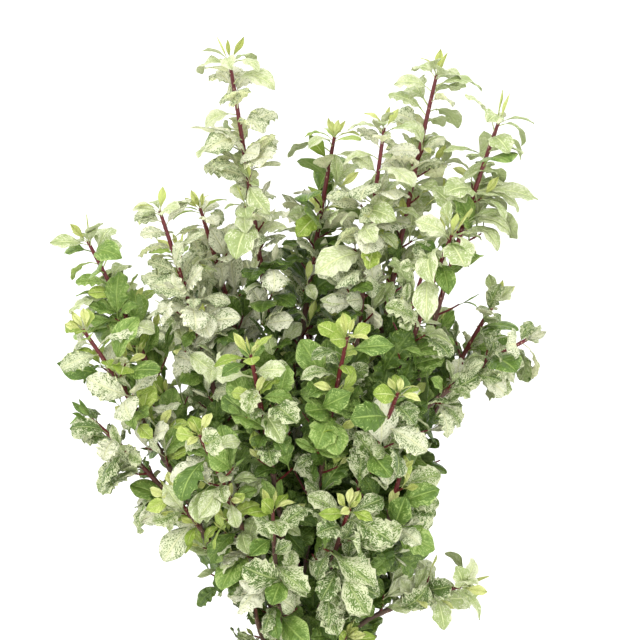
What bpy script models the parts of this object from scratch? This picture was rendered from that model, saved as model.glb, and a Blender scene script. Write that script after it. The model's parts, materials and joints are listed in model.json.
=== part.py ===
"""A pittosporum shrub in a plain clay pot: mottled, wavy leaves on dark red shoots.

The shrub stands on +Z, with its origin in the middle of the pot's flat underside.
The trunk forks low down into boughs, and each bough carries one mass of leafy twigs.
"""

import math

import bmesh
import bpy
import numpy as np
from mathutils import Quaternion, Vector
from mathutils.bvhtree import BVHTree

MM = 0.001
CLEARANCE = 0.3 * MM
CELL_MARGIN = 0.9 * MM
WALL_MARGIN = 0.6 * MM
UP = Vector((0, 0, 1))
GOLDEN_ANGLE = math.radians(137.508)
LEAF_FACES = [((corner + 1) % 6, corner, 6) for corner in range(6)]
LEAF_FACES += [(corner, (corner + 1) % 6, 7) for corner in range(6)]

# The pot
POT_HEIGHT = 0.205
POT_FOOT_RADIUS = 0.078
POT_RIM_RADIUS = 0.118
POT_WALL = 0.009
POT_FLOOR = 0.014
COLLAR_HEIGHT = 0.042
COLLAR_STEP = 0.006
POT_SIDES = 36
DRAIN_HOLES = 4
DRAIN_RADIUS = 0.007
DRAIN_RING = 0.042

# The compost in it
COMPOST_TOP = 0.185
COMPOST_SWELL = 0.004
COMPOST_FLAT_RADIUS = 0.022
COMPOST_GAP = 0.0005

# The trunk
TRUNK_HEIGHT = 0.098
TRUNK_LEAN = 0.007
TRUNK_RADIUS = 0.0094
TRUNK_TOP_RADIUS = 0.0074
FLARE_RADIUS = 0.015
FLARE_HEIGHT = 0.016
FLARE_LOBES = 5
FLARE_LOBE_DEPTH = 0.5
TRUNK_SIDES = 15

# Boughs and the stems that go on from them
BOUGH_RADIUS = 0.0033
SIDE_BOUGH_RADIUS = 0.0023
BOUGH_TIP_RADIUS = 0.0020
STEM_TIP_RADIUS = 0.0012
BOUGH_SIDES = 6
STEM_SIDES = 5
LEAVING_ANGLE = math.radians(42)
FORK_ANGLE = math.radians(48)
BOUGH_STEPS = 5
STEM_STEPS = 3
STEM_BOW = 0.07

# Twigs and leaves. One leaf here stands for two or three real ones, so it is larger than life.
TWIG_STEP = 0.025
TWIG_RADIUS = 0.0012
TWIG_TIP_RADIUS = 0.0009
TWIG_ANGLE = math.radians(52)
TWIGLESS_REACH = 0.062
PAIR_STEP = 0.027
LEAF_LENGTH = 0.060
LEAF_WIDTH_SHARE = 0.64
LEAF_THICKNESS_SHARE = 0.017
LEAF_DROOP = 0.12
LEAF_CAMBER = 0.05
LEAF_ANGLE = math.radians(58)
LEAF_ROLL = math.radians(50)
LEAF_GAP = 0.017
LEAF_TRIES = 7
ROSETTE_LEAVES = 4
FACE_OUT = 0.7
FACE_AXIS = 0.5
LIGHT = Vector((0, -0.7, 0.5))
CROWN_CENTRE = Vector((0, 0, 0.40))
LOWEST_LEAF = POT_HEIGHT + 0.006

# Each shoot: its parent, where it starts there, the tip of its bough, the end of the stem that
# goes on inside the foliage, and how far its leaves reach from that stem. On the trunk the start
# is a height above the compost and a bearing, and on a bough it is a share of that bough's
# length. Points are millimetres from the foot of the trunk: right, back and up. A shoot with no
# bough has its stem on the trunk itself.
SHOOTS = {
    "left_spire": ("trunk", (92, 190), (-17, -12, 290), (-60, -20, 596), 42),
    "crown_left": ("left_spire", 0.68, (-42, 16, 296), (-87, 2, 468), 52),
    "crown_top": ("left_spire", 0.86, (-2, 8, 332), (30, -2, 530), 46),
    "left_shoulder": ("trunk", (77, 215), (-52, -20, 222), (-120, -30, 468), 52),
    "left_fan": ("trunk", (63, 178), (-86, -10, 218), (-184, -10, 440), 50),
    "left_edge": ("left_fan", 0.72, (-100, -42, 222), (-184, -66, 370), 50),
    "left_low": ("trunk", (49, 205), (-72, -34, 170), (-178, -60, 292), 48),
    "left_skirt": ("left_low", 0.56, (-66, -54, 166), (-108, -86, 232), 46),
    "left_foot": ("trunk", (38, 222), None, (-38, -84, 134), 46),
    "front_left": ("trunk", (62, 252), (-26, -46, 132), (-82, -132, 290), 57),
    "front_middle": ("trunk", (29, 256), None, (-22, -122, 226), 52),
    "centre_front": ("trunk", (90, 282), (6, -46, 172), (40, -132, 372), 59),
    "front_crown": ("centre_front", 0.66, (-16, -66, 204), (-40, -122, 356), 54),
    "centre_right": ("trunk", (65, 302), (32, -48, 152), (82, -132, 326), 56),
    "front_low": ("trunk", (47, 282), (14, -52, 112), (42, -130, 228), 54),
    "front_foot": ("trunk", (21, 304), None, (40, -66, 104), 44),
    "right_spire": ("trunk", (92, 8), (62, -4, 300), (118, -10, 584), 46),
    "middle_spire": ("right_spire", 0.72, (44, -34, 304), (72, -48, 540), 48),
    "right_shoulder": ("trunk", (78, 348), (98, -28, 306), (170, -36, 545), 52),
    "right_crown": ("right_shoulder", 0.72, (76, -44, 292), (128, -84, 452), 50),
    "right_arm": ("trunk", (51, 326), (100, -64, 296), (194, -56, 360), 40),
    "right_wing": ("right_shoulder", 0.60, (112, 0, 276), (170, -14, 388), 44),
    "right_skirt": ("right_arm", 0.50, (72, -84, 192), (86, -104, 256), 44),
    "right_low": ("trunk", (38, 338), (64, -30, 112), (140, -44, 142), 48),
    "back_left": ("trunk", (76, 140), (-52, 66, 206), (-112, 116, 420), 61),
    "back_crown": ("trunk", (91, 112), (2, 50, 240), (16, 88, 456), 60),
    "back_right": ("trunk", (77, 52), (54, 62, 210), (114, 110, 406), 61),
    "back_low_left": ("trunk", (49, 132), (-36, 46, 128), (-96, 98, 250), 60),
    "back_low_right": ("trunk", (50, 48), (42, 46, 122), (84, 92, 236), 58),
    "back_foot": ("trunk", (35, 88), None, (0, 88, 140), 54),
    "heart": ("trunk", (92, 60), None, (6, 12, 356), 44),
}


def chance(*keys):
    """A repeatable number from 0 to 1 for these keys."""
    mixed = sum(weight * key for weight, key in zip((12.9898, 78.233, 37.719, 4.581), keys))
    return math.sin(mixed) * 43758.5453 % 1.0


def place(point):
    """A point of the table, in metres above the pot's underside."""
    return Vector(point) * MM + UP * COMPOST_TOP


def bezier(points, share):
    """The point at this share of a Bezier curve, by repeated halving of its control points."""
    points = [Vector(point) for point in points]
    while len(points) > 1:
        points = [a.lerp(b, share) for a, b in zip(points, points[1:])]
    return points[0]


def sampled(controls, steps):
    return [bezier(controls, step / steps) for step in range(steps + 1)]


class Limb:
    """A tapering limb along a Bezier curve. Where it starts on another limb, it holds its seat."""

    def __init__(self, name, controls, radii, steps, seat=None):
        self.name = name
        self.controls = controls
        self.radii = radii
        self.points = sampled(controls, steps)
        self.seat = seat

    def at(self, share):
        return bezier(self.controls, share)

    def radius(self, share):
        return self.radii[0] + (self.radii[1] - self.radii[0]) * share

    def heading(self, share):
        step = 0.01
        return (self.at(min(share + step, 1)) - self.at(max(share - step, 0))).normalized()

    def length(self):
        return sum((b - a).length for a, b in zip(self.points, self.points[1:]))

    def clearance(self, point):
        """How far a point lies outside the limb's bark."""
        best = math.inf
        last = len(self.points) - 1
        for index in range(last):
            start, end = self.points[index], self.points[index + 1]
            run = end - start
            share = max(0.0, min(1.0, (point - start).dot(run) / run.length_squared))
            away = (point - start - run * share).length
            best = min(best, away - self.radius((index + share) / last))
        return best


def trunk_centre(height):
    """The middle of the trunk at a height above the compost."""
    share = height / TRUNK_HEIGHT
    return Vector((TRUNK_LEAN * share * share, 0, COMPOST_TOP + height))


def trunk_radius(height, bearing=0.0):
    """The bark's radius, with its lobed flare at the foot."""
    share = height / TRUNK_HEIGHT
    bole = TRUNK_RADIUS + (TRUNK_TOP_RADIUS - TRUNK_RADIUS) * share
    flare = (FLARE_RADIUS - TRUNK_RADIUS) * math.exp(-height / FLARE_HEIGHT * 2)
    return bole + flare * (1 + FLARE_LOBE_DEPTH * math.cos(FLARE_LOBES * bearing))


def bearing_of(degrees):
    angle = math.radians(degrees)
    return Vector((math.cos(angle), math.sin(angle), 0))


def trunk_bark(point):
    """How far a point lies outside the trunk's bark."""
    height = max(0.0, point.z - COMPOST_TOP)
    out = point - trunk_centre(height)
    return math.hypot(out.x, out.y) - trunk_radius(height, math.atan2(out.y, out.x))


def slide_out(point, direction, bark, back, reach=0.04):
    """The point moved along a direction to lie just clear of the bark that it starts inside of."""
    low, high = -back, reach
    while high - low > 1e-6:
        middle = (low + high) / 2
        if bark(point + direction * middle) < CLEARANCE:
            low = middle
        else:
            high = middle
    return point + direction * high


def rooting(name, boughs):
    """Where a shoot leaves its parent: the point on the bark, the direction, the bark, the depth."""
    parent, start, tip, end, _ = SHOOTS[name]
    if parent in boughs:
        centre, heading = boughs[parent].at(start), boughs[parent].heading(start)
        away = place(tip) - centre
        sideways = (away - heading * away.dot(heading)).normalized()
        leaving, bark = turned(heading, sideways, FORK_ANGLE), boughs[parent].clearance
    else:
        centre, bearing = trunk_centre(start[0] * MM), bearing_of(start[1])
        leaving, bark = turned(bearing, UP, LEAVING_ANGLE), trunk_bark
    root = slide_out(centre, leaving, bark, 0)
    return root, leaving, bark, (root - centre).length


def plan_limbs():
    """(boughs, stems): each shoot's bough, where it has one, and the stem inside its foliage."""
    boughs, stems = {}, {}
    for name, (parent, _, tip, end, _) in SHOOTS.items():
        root, leaving, bark, depth = rooting(name, boughs)
        end = place(end)
        if tip is None:
            controls = [root, root + leaving * (end - root).length * 0.45, end]
            radii = (BOUGH_TIP_RADIUS * 1.2, STEM_TIP_RADIUS)
            stems[name] = Limb(name, controls, radii, BOUGH_STEPS, (bark, depth))
            continue
        tip = place(tip)
        bow = tip.lerp(end, 0.5) + UP * (end - tip).length * STEM_BOW
        onward = (bow - tip).normalized()
        run = (tip - root).length
        controls = [root, root + leaving * run * 0.3, tip - onward * run * 0.3, tip]
        thickness = BOUGH_RADIUS if parent == "trunk" else SIDE_BOUGH_RADIUS
        boughs[name] = Limb(name, controls, (thickness, BOUGH_TIP_RADIUS), BOUGH_STEPS, (bark, depth))
        first = tip + onward * CLEARANCE
        stems[name] = Limb(name, [first, bow, end], (BOUGH_TIP_RADIUS, STEM_TIP_RADIUS), STEM_STEPS)
    return boughs, stems


def frames(limb):
    """Two directions across the limb at each of its points, which turn as little as they can."""
    count = len(limb.points) - 1
    across = limb.heading(0).orthogonal().normalized()
    found = []
    for index in range(count + 1):
        heading = limb.heading(index / count)
        across = (across - heading * across.dot(heading)).normalized()
        found.append((across, heading.cross(across)))
    return found


def ring(centre, across, other, radius, sides):
    angles = (2 * math.pi * side / sides for side in range(sides))
    return [centre + (across * math.cos(a) + other * math.sin(a)) * radius for a in angles]


def tube_mesh(name, rings, start_centre, end_centre):
    """A closed tube through rings of points, with a fan of faces at each end."""
    sides = len(rings[0])
    points = [point for loop in rings for point in loop] + [start_centre, end_centre]
    first_hub, last_hub = len(points) - 2, len(points) - 1
    faces = []
    for index in range(len(rings) - 1):
        for side in range(sides):
            a, b = index * sides + side, index * sides + (side + 1) % sides
            faces.append((a, b, b + sides, a + sides))
    top = (len(rings) - 1) * sides
    for side in range(sides):
        after = (side + 1) % sides
        faces.append((first_hub, after, side))
        faces.append((last_hub, top + side, top + after))
    mesh = bpy.data.meshes.new(name)
    mesh.from_pydata(points, [], faces)
    mesh.validate()
    return mesh


def limb_mesh(limb, sides):
    """The limb's mesh. Where it has a seat, its near end is shaped to lie against its parent."""
    count = len(limb.points) - 1
    rings = []
    for index, (across, other) in enumerate(frames(limb)):
        rings.append(ring(limb.points[index], across, other, limb.radius(index / count), sides))
    if limb.seat:
        bark, depth = limb.seat
        rings[0] = [slide_out(point, limb.heading(0), bark, depth) for point in rings[0]]
    return tube_mesh(limb.name, rings, limb.points[0], limb.points[-1])


def material(name, colour, roughness):
    made = bpy.data.materials.new(name)
    made.use_nodes = True
    shader = made.node_tree.nodes["Principled BSDF"]
    shader.inputs["Base Color"].default_value = (*colour, 1)
    shader.inputs["Roughness"].default_value = roughness
    shader.inputs["Metallic"].default_value = 0
    return made


def add_object(name, mesh, finish=None):
    made = bpy.data.objects.new(name, mesh)
    bpy.context.scene.collection.objects.link(made)
    if finish:
        mesh.materials.append(finish)
    return made


def turned_mesh(name, profile, sides):
    """A closed solid turned about +Z from (radius, height) points, whose ends lie on the axis."""
    inner = profile[1:-1]
    points = [Vector((0, 0, profile[0][1]))]
    for radius, height in inner:
        points += ring(Vector((0, 0, height)), Vector((1, 0, 0)), Vector((0, 1, 0)), radius, sides)
    points.append(Vector((0, 0, profile[-1][1])))
    last = len(points) - 1
    faces = []
    for side in range(sides):
        after = (side + 1) % sides
        faces.append((0, 1 + after, 1 + side))
        for index in range(len(inner) - 1):
            a, b = 1 + index * sides + side, 1 + index * sides + after
            faces.append((a, b, b + sides, a + sides))
        top = 1 + (len(inner) - 1) * sides
        faces.append((last, top + side, top + after))
    mesh = bpy.data.meshes.new(name)
    mesh.from_pydata(points, [], faces)
    mesh.validate()
    return mesh


def pot_outer_radius(height):
    """The pot's tapering side, below its collar."""
    share = height / POT_HEIGHT
    return POT_FOOT_RADIUS + (POT_RIM_RADIUS - COLLAR_STEP - POT_FOOT_RADIUS) * share


def pot_inner_radius(height):
    return pot_outer_radius(height) - POT_WALL


def make_pot():
    """A turned clay pot with a collar round its rim and drain holes round the middle of its floor."""
    collar = POT_HEIGHT - COLLAR_HEIGHT
    lip = 0.0025
    profile = [
        (0, 0),
        (POT_FOOT_RADIUS - lip, 0),
        (POT_FOOT_RADIUS, lip),
        (pot_outer_radius(collar), collar),
        (POT_RIM_RADIUS - COLLAR_STEP * 0.35, collar + lip),
        (POT_RIM_RADIUS, POT_HEIGHT - lip),
        (POT_RIM_RADIUS - lip, POT_HEIGHT),
        (pot_inner_radius(POT_HEIGHT) + lip, POT_HEIGHT),
        (pot_inner_radius(POT_HEIGHT), POT_HEIGHT - lip),
        (pot_inner_radius(POT_FLOOR), POT_FLOOR),
        (0, POT_FLOOR),
    ]
    pot = add_object("pot", turned_mesh("pot", profile, POT_SIDES), material("clay", (0.50, 0.22, 0.12), 0.85))
    for index in range(DRAIN_HOLES):
        bearing = bearing_of(45 + index * 360 / DRAIN_HOLES)
        bpy.ops.mesh.primitive_cylinder_add(
            vertices=12,
            radius=DRAIN_RADIUS,
            depth=POT_FLOOR * 3,
            location=bearing * DRAIN_RING,
        )
        cutter = bpy.context.active_object
        cutter.name = f"drain_cutter_{index + 1}"
        cutter.hide_render = True
        cutter.display_type = "WIRE"
        drilled = pot.modifiers.new(f"drain_{index + 1}", "BOOLEAN")
        drilled.operation = "DIFFERENCE"
        drilled.object = cutter
    pot.data.set_sharp_from_angle(angle=math.radians(35))


def make_compost():
    """The compost fills the pot, with a gently uneven top that is flat under the trunk."""
    bottom = POT_FLOOR + CLEARANCE
    edge = 0.85
    rings = [
        (pot_inner_radius(bottom) - COMPOST_GAP, bottom),
        (pot_inner_radius(COMPOST_TOP) - COMPOST_GAP, COMPOST_TOP - COMPOST_SWELL * 0.5),
        (pot_inner_radius(COMPOST_TOP) * edge, COMPOST_TOP),
        ((pot_inner_radius(COMPOST_TOP) * edge + COMPOST_FLAT_RADIUS) / 2, COMPOST_TOP),
        (COMPOST_FLAT_RADIUS, COMPOST_TOP - CLEARANCE),
    ]
    profile = [(0, bottom), *rings, (0, COMPOST_TOP - CLEARANCE)]
    mesh = turned_mesh("compost", profile, POT_SIDES)
    for vertex in mesh.vertices:
        out = math.hypot(vertex.co.x, vertex.co.y)
        if vertex.co.z >= COMPOST_TOP - 1e-6 and out > COMPOST_FLAT_RADIUS * 1.01:
            vertex.co.z += COMPOST_SWELL * (chance(1, vertex.index) - 0.4)
    add_object("compost", mesh, material("compost", (0.05, 0.033, 0.022), 0.95))


def make_trunk(bark):
    """One low trunk with a lobed root flare, leaning a little, flat where it meets the compost."""
    heights = [0.0, 0.005, 0.012, 0.024, 0.045, 0.070, TRUNK_HEIGHT]
    rings = []
    for height in heights:
        loop = []
        for side in range(TRUNK_SIDES):
            angle = 2 * math.pi * side / TRUNK_SIDES
            out = Vector((math.cos(angle), math.sin(angle), 0)) * trunk_radius(height, angle)
            loop.append(trunk_centre(height) + out)
        rings.append(loop)
    dome = UP * TRUNK_TOP_RADIUS * 0.4
    mesh = tube_mesh("trunk", rings, trunk_centre(0), trunk_centre(TRUNK_HEIGHT) + dome)
    mesh.shade_smooth()
    add_object("trunk", mesh, bark)
    return mesh


def leaf_points(base, along, normal, length):
    """The corners of a leaf: base, right side, tip, left side, then its domed top and underside."""
    across = normal.cross(along)
    half = length * LEAF_WIDTH_SHARE / 2
    thick = length * LEAF_THICKNESS_SHARE / 2
    outline = [(0, 0), (0.34, 0.82), (0.74, 0.94), (1, 0), (0.74, -0.94), (0.34, -0.82)]
    points = []
    for far, wide in outline:
        sink = -LEAF_DROOP * far * far * length
        points.append(base + along * far * length + across * wide * half + normal * sink)
    middle = base + along * length * 0.52 + normal * length * LEAF_CAMBER * 0.3
    return points + [middle + normal * thick, middle - normal * thick]


def leaf_mesh(points):
    mesh = bpy.data.meshes.new("leaf")
    mesh.from_pydata(points, [], LEAF_FACES)
    return mesh


class Space:
    """The room that each mass of foliage keeps to, so that no two masses or limbs touch.

    A point belongs to the mass whose stem it is nearest to, once each mass's reach is taken off.
    """

    def __init__(self, boughs, stems, trunk):
        self.stems = stems
        self.walls = {"trunk": tree_of(trunk)}
        for kind, limbs in (("bough", boughs), ("stem", stems)):
            for name, limb in limbs.items():
                thicker = [radius + WALL_MARGIN for radius in limb.radii]
                wide = Limb(name, limb.controls, thicker, len(limb.points) - 1)
                self.walls[kind, name] = tree_of(limb_mesh(wide, BOUGH_SIDES))
        lengths = [
            (start, end - start, name, SHOOTS[name][4] * MM)
            for name, stem in stems.items()
            for start, end in zip(stem.points, stem.points[1:])
        ]
        self.starts = np.array([length[0] for length in lengths])
        self.runs = np.array([length[1] for length in lengths])
        self.owners = np.array([length[2] for length in lengths])
        self.reaches = np.array([length[3] for length in lengths])

    def margin(self, name, points):
        """How far inside the mass's own space the outermost of the points lies."""
        away = np.array(points)[:, None, :] - self.starts
        share = ((away * self.runs).sum(2) / (self.runs * self.runs).sum(1)).clip(0, 1)
        gaps = np.linalg.norm(away - share[:, :, None] * self.runs, axis=2) - self.reaches
        own = self.owners == name
        return ((gaps[:, ~own].min(axis=1) - gaps[:, own].min(axis=1)) / 2).min()

    def free(self, name, points, tree):
        """Whether a twig or leaf keeps to the mass's space and misses every limb but its stem."""
        if self.margin(name, points) < CELL_MARGIN or min(point.z for point in points) < LOWEST_LEAF:
            return False
        return not any(
            wall.overlap(tree) for key, wall in self.walls.items() if key != ("stem", name)
        )


def tree_of(mesh):
    points = [vertex.co for vertex in mesh.vertices]
    return BVHTree.FromPolygons(points, [face.vertices for face in mesh.polygons])


def spread_over(points):
    """Points spread closely over a leaf, edge to edge."""
    base, right, far_right, tip, far_left, left = points[:6]
    found = list(points)
    for share in (0.0, 0.2, 0.4, 0.6, 0.8, 1.0):
        found.append(right.lerp(left, share))
        found.append(far_right.lerp(far_left, share))
        found.append(right.lerp(left, share).lerp(far_right.lerp(far_left, share), 0.5))
    for a, b in ((base, right), (base, left), (tip, far_right), (tip, far_left)):
        found += [a.lerp(b, 0.33), a.lerp(b, 0.67)]
    return found


def turned(axis, side, angle):
    """A heading at this angle from an axis, towards one side of it."""
    return (axis * math.cos(angle) + side * math.sin(angle)).normalized()


def blade_tree(points):
    """A leaf's blade without its narrow base, to test whether it crosses anything."""
    faces = [(hub, corner, corner + 1) for hub in (6, 7) for corner in (1, 2, 3, 4)]
    return BVHTree.FromPolygons(points, faces)


def leaf_tries(keys, base, axis, side, angle, length):
    """The corners of a leaf, then of ones turned more and more, folded closer and made smaller."""
    outward = (base - CROWN_CENTRE).normalized()
    for attempt in range(LEAF_TRIES):
        swing = Quaternion(axis, (chance(*keys, attempt) - 0.5) * attempt * 0.9)
        along = turned(axis, swing @ side, angle * (1 - 0.09 * attempt))
        facing = axis * FACE_AXIS + outward * FACE_OUT + LIGHT
        normal = (facing - along * facing.dot(along)).normalized()
        roll = Quaternion(along, (chance(*keys, attempt + 0.5) - 0.5) * LEAF_ROLL)
        yield leaf_points(base, along, (roll @ normal).normalized(), length * (1 - 0.07 * attempt))


class Mass:
    """One mass of foliage: a stem, twigs that branch off it in a spiral, and their leaves."""

    def __init__(self, space, name, number):
        self.space, self.name, self.number = space, name, number
        self.stem = space.stems[name]
        self.reach = SHOOTS[name][4] * MM
        self.leaf_length = min(LEAF_LENGTH, self.reach * 1.02)
        self.twigs, self.leaves = [], []
        self.solids = [tree_of(limb_mesh(self.stem, STEM_SIDES))]
        self.add_twigs()
        self.add_rosette()

    def add_leaf(self, keys, base, axis, side, angle, share):
        """Adds a leaf where one fits, and says whether it did."""
        for points in leaf_tries(keys, base, axis, side, angle, self.leaf_length * share):
            whole = BVHTree.FromPolygons(points, LEAF_FACES)
            if not self.space.free(self.name, spread_over(points), whole):
                continue
            blade = BVHTree.FromPolygons(points, [face for face in LEAF_FACES if 0 not in face])
            if not any(tree.overlap(blade) for tree in self.solids):
                self.leaves.append(points)
                self.solids.append(blade)
                return True
        return False

    def add_twigs(self):
        """Twigs spring from the stem at even steps. One too short to tell is a pair of leaves."""
        direct = self.reach < TWIGLESS_REACH
        count = max(3, round(self.stem.length() / (PAIR_STEP if direct else TWIG_STEP)))
        first = 0.42 if SHOOTS[self.name][2] is None else 0.03
        for index in range(count):
            share = first + (0.95 - first) * (index + 0.5) / count
            base, axis = self.stem.at(share), self.stem.heading(share)
            turn = Quaternion(axis, index * GOLDEN_ANGLE + 6.28 * chance(self.number, 3))
            side = turn @ axis.orthogonal().normalized()
            room = (self.reach - self.leaf_length * 0.62) * (1.15 - 0.4 * share)
            long = room * (0.8 + 0.4 * chance(self.number, index))
            if direct or not self.add_twig(index, base, turned(axis, side, TWIG_ANGLE), long):
                self.add_pair(index, base, axis, side)

    def add_pair(self, index, base, axis, side):
        for half, way in enumerate((side, Quaternion(axis, math.pi * 0.8) @ side)):
            spot = base + axis * half * 6 * MM
            size = 0.82 + 0.26 * chance(self.number, index, half)
            self.add_leaf((self.number, index, half), spot, axis, way, LEAF_ANGLE, size)

    def add_twig(self, index, base, heading, long):
        """A twig with leaves at its tip and down both sides. It is left out if none of them fit."""
        limb = Limb("twig", [base, base + heading * long], (TWIG_RADIUS, TWIG_TIP_RADIUS), 1)
        mesh = limb_mesh(limb, 3)
        path = [base + heading * long * step / 6 for step in range(1, 7)]
        tree = tree_of(mesh)
        if not self.space.free(self.name, path, tree):
            return False
        self.solids.append(tree)
        grown = 0
        for spot in range(1 + round(long / LEAF_GAP)):
            turn = Quaternion(heading, spot * math.pi * 0.85 + index)
            side = turn @ heading.orthogonal().normalized()
            point = base + heading * (long * 0.97 - spot * LEAF_GAP * 0.8)
            angle = LEAF_ANGLE if spot else LEAF_ANGLE * 0.5
            size = 0.86 + 0.24 * chance(self.number, index, spot)
            grown += self.add_leaf((self.number, index, spot), point, heading, side, angle, size)
        if grown:
            self.twigs.append(mesh)
        else:
            self.solids.pop()
        return grown > 0

    def add_rosette(self):
        """The smaller leaves that crowd round the stem's tip."""
        axis = self.stem.heading(1)
        for index in range(ROSETTE_LEAVES):
            turn = Quaternion(axis, index * GOLDEN_ANGLE + chance(self.number, 5))
            side = turn @ axis.orthogonal().normalized()
            base = self.stem.points[-1] - axis * (1 + 4 * index) * MM
            angle = LEAF_ANGLE * (0.5 + 0.14 * index)
            self.add_leaf((self.number, 90, index), base, axis, side, angle, 0.66 + 0.06 * index)


def join_mass(grown, finish):
    """One closed solid from a stem, its twigs and its leaves."""
    mass = add_object(f"foliage_{grown.name}", limb_mesh(grown.stem, STEM_SIDES), finish)
    pieces = bpy.data.collections.new(f"{grown.name}_pieces")
    bpy.context.scene.collection.children.link(pieces)
    for mesh in grown.twigs + [leaf_mesh(points) for points in grown.leaves]:
        pieces.objects.link(bpy.data.objects.new(mesh.name, mesh))
    union = mass.modifiers.new("grown_together", "BOOLEAN")
    union.operation = "UNION"
    union.operand_type = "COLLECTION"
    union.collection = pieces
    union.solver = "MANIFOLD"
    bpy.context.view_layer.objects.active = mass
    bpy.ops.object.modifier_apply(modifier=union.name)
    for piece in list(pieces.objects):
        bpy.data.objects.remove(piece)
    bpy.data.collections.remove(pieces)
    keep_largest_body(mass.data)


def keep_largest_body(mesh):
    """Drops loose scraps, and fills sealed hollows by dropping their walls."""
    body = bmesh.new()
    body.from_mesh(mesh)
    unseen = set(body.verts)
    groups = []
    while unseen:
        group, edge = set(), [unseen.pop()]
        while edge:
            vertex = edge.pop()
            group.add(vertex)
            for link in vertex.link_edges:
                other = link.other_vert(vertex)
                if other in unseen:
                    unseen.discard(other)
                    edge.append(other)
        groups.append(group)
    groups.sort(key=len)
    scraps = [vertex for group in groups[:-1] for vertex in group]
    bmesh.ops.delete(body, geom=scraps, context="VERTS")
    body.to_mesh(mesh)
    body.free()


def clear_scene():
    for old in list(bpy.data.objects):
        bpy.data.objects.remove(old)


def main():
    clear_scene()
    bark = material("bark", (0.075, 0.030, 0.022), 0.7)
    foliage = material("foliage", (0.42, 0.50, 0.27), 0.5)
    make_pot()
    make_compost()
    trunk = make_trunk(bark)
    boughs, stems = plan_limbs()
    for name, bough in boughs.items():
        mesh = limb_mesh(bough, BOUGH_SIDES)
        mesh.shade_smooth()
        add_object(f"bough_{name}", mesh, bark)
    space = Space(boughs, stems, trunk)
    for number, name in enumerate(stems):
        join_mass(Mass(space, name, number), foliage)


if __name__ == "__main__":
    main()
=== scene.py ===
# %% [markdown]
# # A pittosporum shrub in a clay pot
#
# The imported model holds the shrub's construction: a pot, compost, a short trunk, its boughs and
# one plain mass of leafy twigs at the end of each bough. This lesson dresses it. The plain masses
# are replaced by real-size leaves on fine red shoots, grown by the same rule as in the source,
# and the pot, the compost and the wood get fine meshes with their own relief.
#
# Lengths are metres. The frame is the model's own: +Z is up, and the camera looks along +Y.

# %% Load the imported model
import json
import math
from collections import namedtuple

import bmesh
import bpy
import numpy as np
from mathutils import Matrix, Quaternion, Vector, noise
from mathutils.bvhtree import BVHTree

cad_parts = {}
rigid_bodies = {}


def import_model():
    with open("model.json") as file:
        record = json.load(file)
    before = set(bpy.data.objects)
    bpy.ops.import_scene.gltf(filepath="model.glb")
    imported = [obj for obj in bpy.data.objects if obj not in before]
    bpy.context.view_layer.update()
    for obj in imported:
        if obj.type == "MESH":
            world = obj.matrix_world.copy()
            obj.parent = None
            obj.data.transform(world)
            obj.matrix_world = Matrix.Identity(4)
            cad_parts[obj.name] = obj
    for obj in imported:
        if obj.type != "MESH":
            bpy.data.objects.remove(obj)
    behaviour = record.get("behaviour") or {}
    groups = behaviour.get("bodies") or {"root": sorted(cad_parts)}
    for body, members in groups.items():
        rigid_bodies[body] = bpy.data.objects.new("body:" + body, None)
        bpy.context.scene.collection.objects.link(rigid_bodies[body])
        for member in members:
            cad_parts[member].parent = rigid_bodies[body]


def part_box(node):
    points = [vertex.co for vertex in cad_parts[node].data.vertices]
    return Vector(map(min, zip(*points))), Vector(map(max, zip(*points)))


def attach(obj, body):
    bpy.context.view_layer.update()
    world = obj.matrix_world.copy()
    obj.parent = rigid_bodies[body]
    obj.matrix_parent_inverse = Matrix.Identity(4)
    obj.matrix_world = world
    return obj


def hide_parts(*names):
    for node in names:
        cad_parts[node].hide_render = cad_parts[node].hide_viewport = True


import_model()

MM = 0.001
UP = Vector((0, 0, 1))
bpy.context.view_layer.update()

# %% [markdown]
# ## Boards and wires
#
# A material and a Geometry Nodes recipe are both boards of nodes joined by wires. They could be
# wired line by line, but sums then take three lines each and hide what they work out. Here a
# `Wire` stands for one output, and adding or multiplying it adds the Math node, so that a
# pattern reads as a formula. Every other node comes from `Board.node`: its type, its settings,
# and what its sockets hold.

# %% Boards and wires
class Wire:
    """One output of a node, which can be used in sums."""

    def __init__(self, board, socket):
        self.board, self.socket = board, socket

    def maths(self, operation, first, second=0.0):
        return self.board.node("ShaderNodeMath", {"operation": operation}, {0: first, 1: second})

    def __add__(self, other):
        return self.maths("ADD", self, other)

    def __sub__(self, other):
        return self.maths("SUBTRACT", self, other)

    def __rsub__(self, other):
        return self.maths("SUBTRACT", other, self)

    def __mul__(self, other):
        return self.maths("MULTIPLY", self, other)

    def __mod__(self, other):
        return self.maths("FLOORED_MODULO", self, other)

    def __abs__(self):
        return self.maths("ABSOLUTE", self)

    __radd__ = __add__
    __rmul__ = __mul__


class Board:
    """A node tree, with one way to add a node to it."""

    def __init__(self, tree):
        self.tree = tree

    def fill(self, made, sockets):
        for key, value in sockets.items():
            if isinstance(value, Wire):
                self.tree.links.new(value.socket, made.inputs[key])
            else:
                made.inputs[key].default_value = value

    def node(self, kind, settings, sockets, output=0):
        """Adds a node: its type, its settings, what its sockets hold, and the output to use."""
        made = self.tree.nodes.new(kind)
        for name, value in settings.items():
            setattr(made, name, value)
        self.fill(made, sockets)
        return Wire(self, made.outputs[output])

    def parts(self, vector):
        """The three numbers of a vector."""
        split = self.node("ShaderNodeSeparateXYZ", {}, {0: vector}).socket.node
        return [Wire(self, socket) for socket in split.outputs]

    def vector(self, x, y, z):
        return self.node("ShaderNodeCombineXYZ", {}, {0: x, 1: y, 2: z})


# %% [markdown]
# ## Finishes
#
# A finish is a Principled material with a few tools for patterns: clouds of noise, a soft
# threshold, a blend of two colours and a bump. Values that are the same all over are set on the
# shader's own sockets, and only what varies over the surface is wired.

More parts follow.
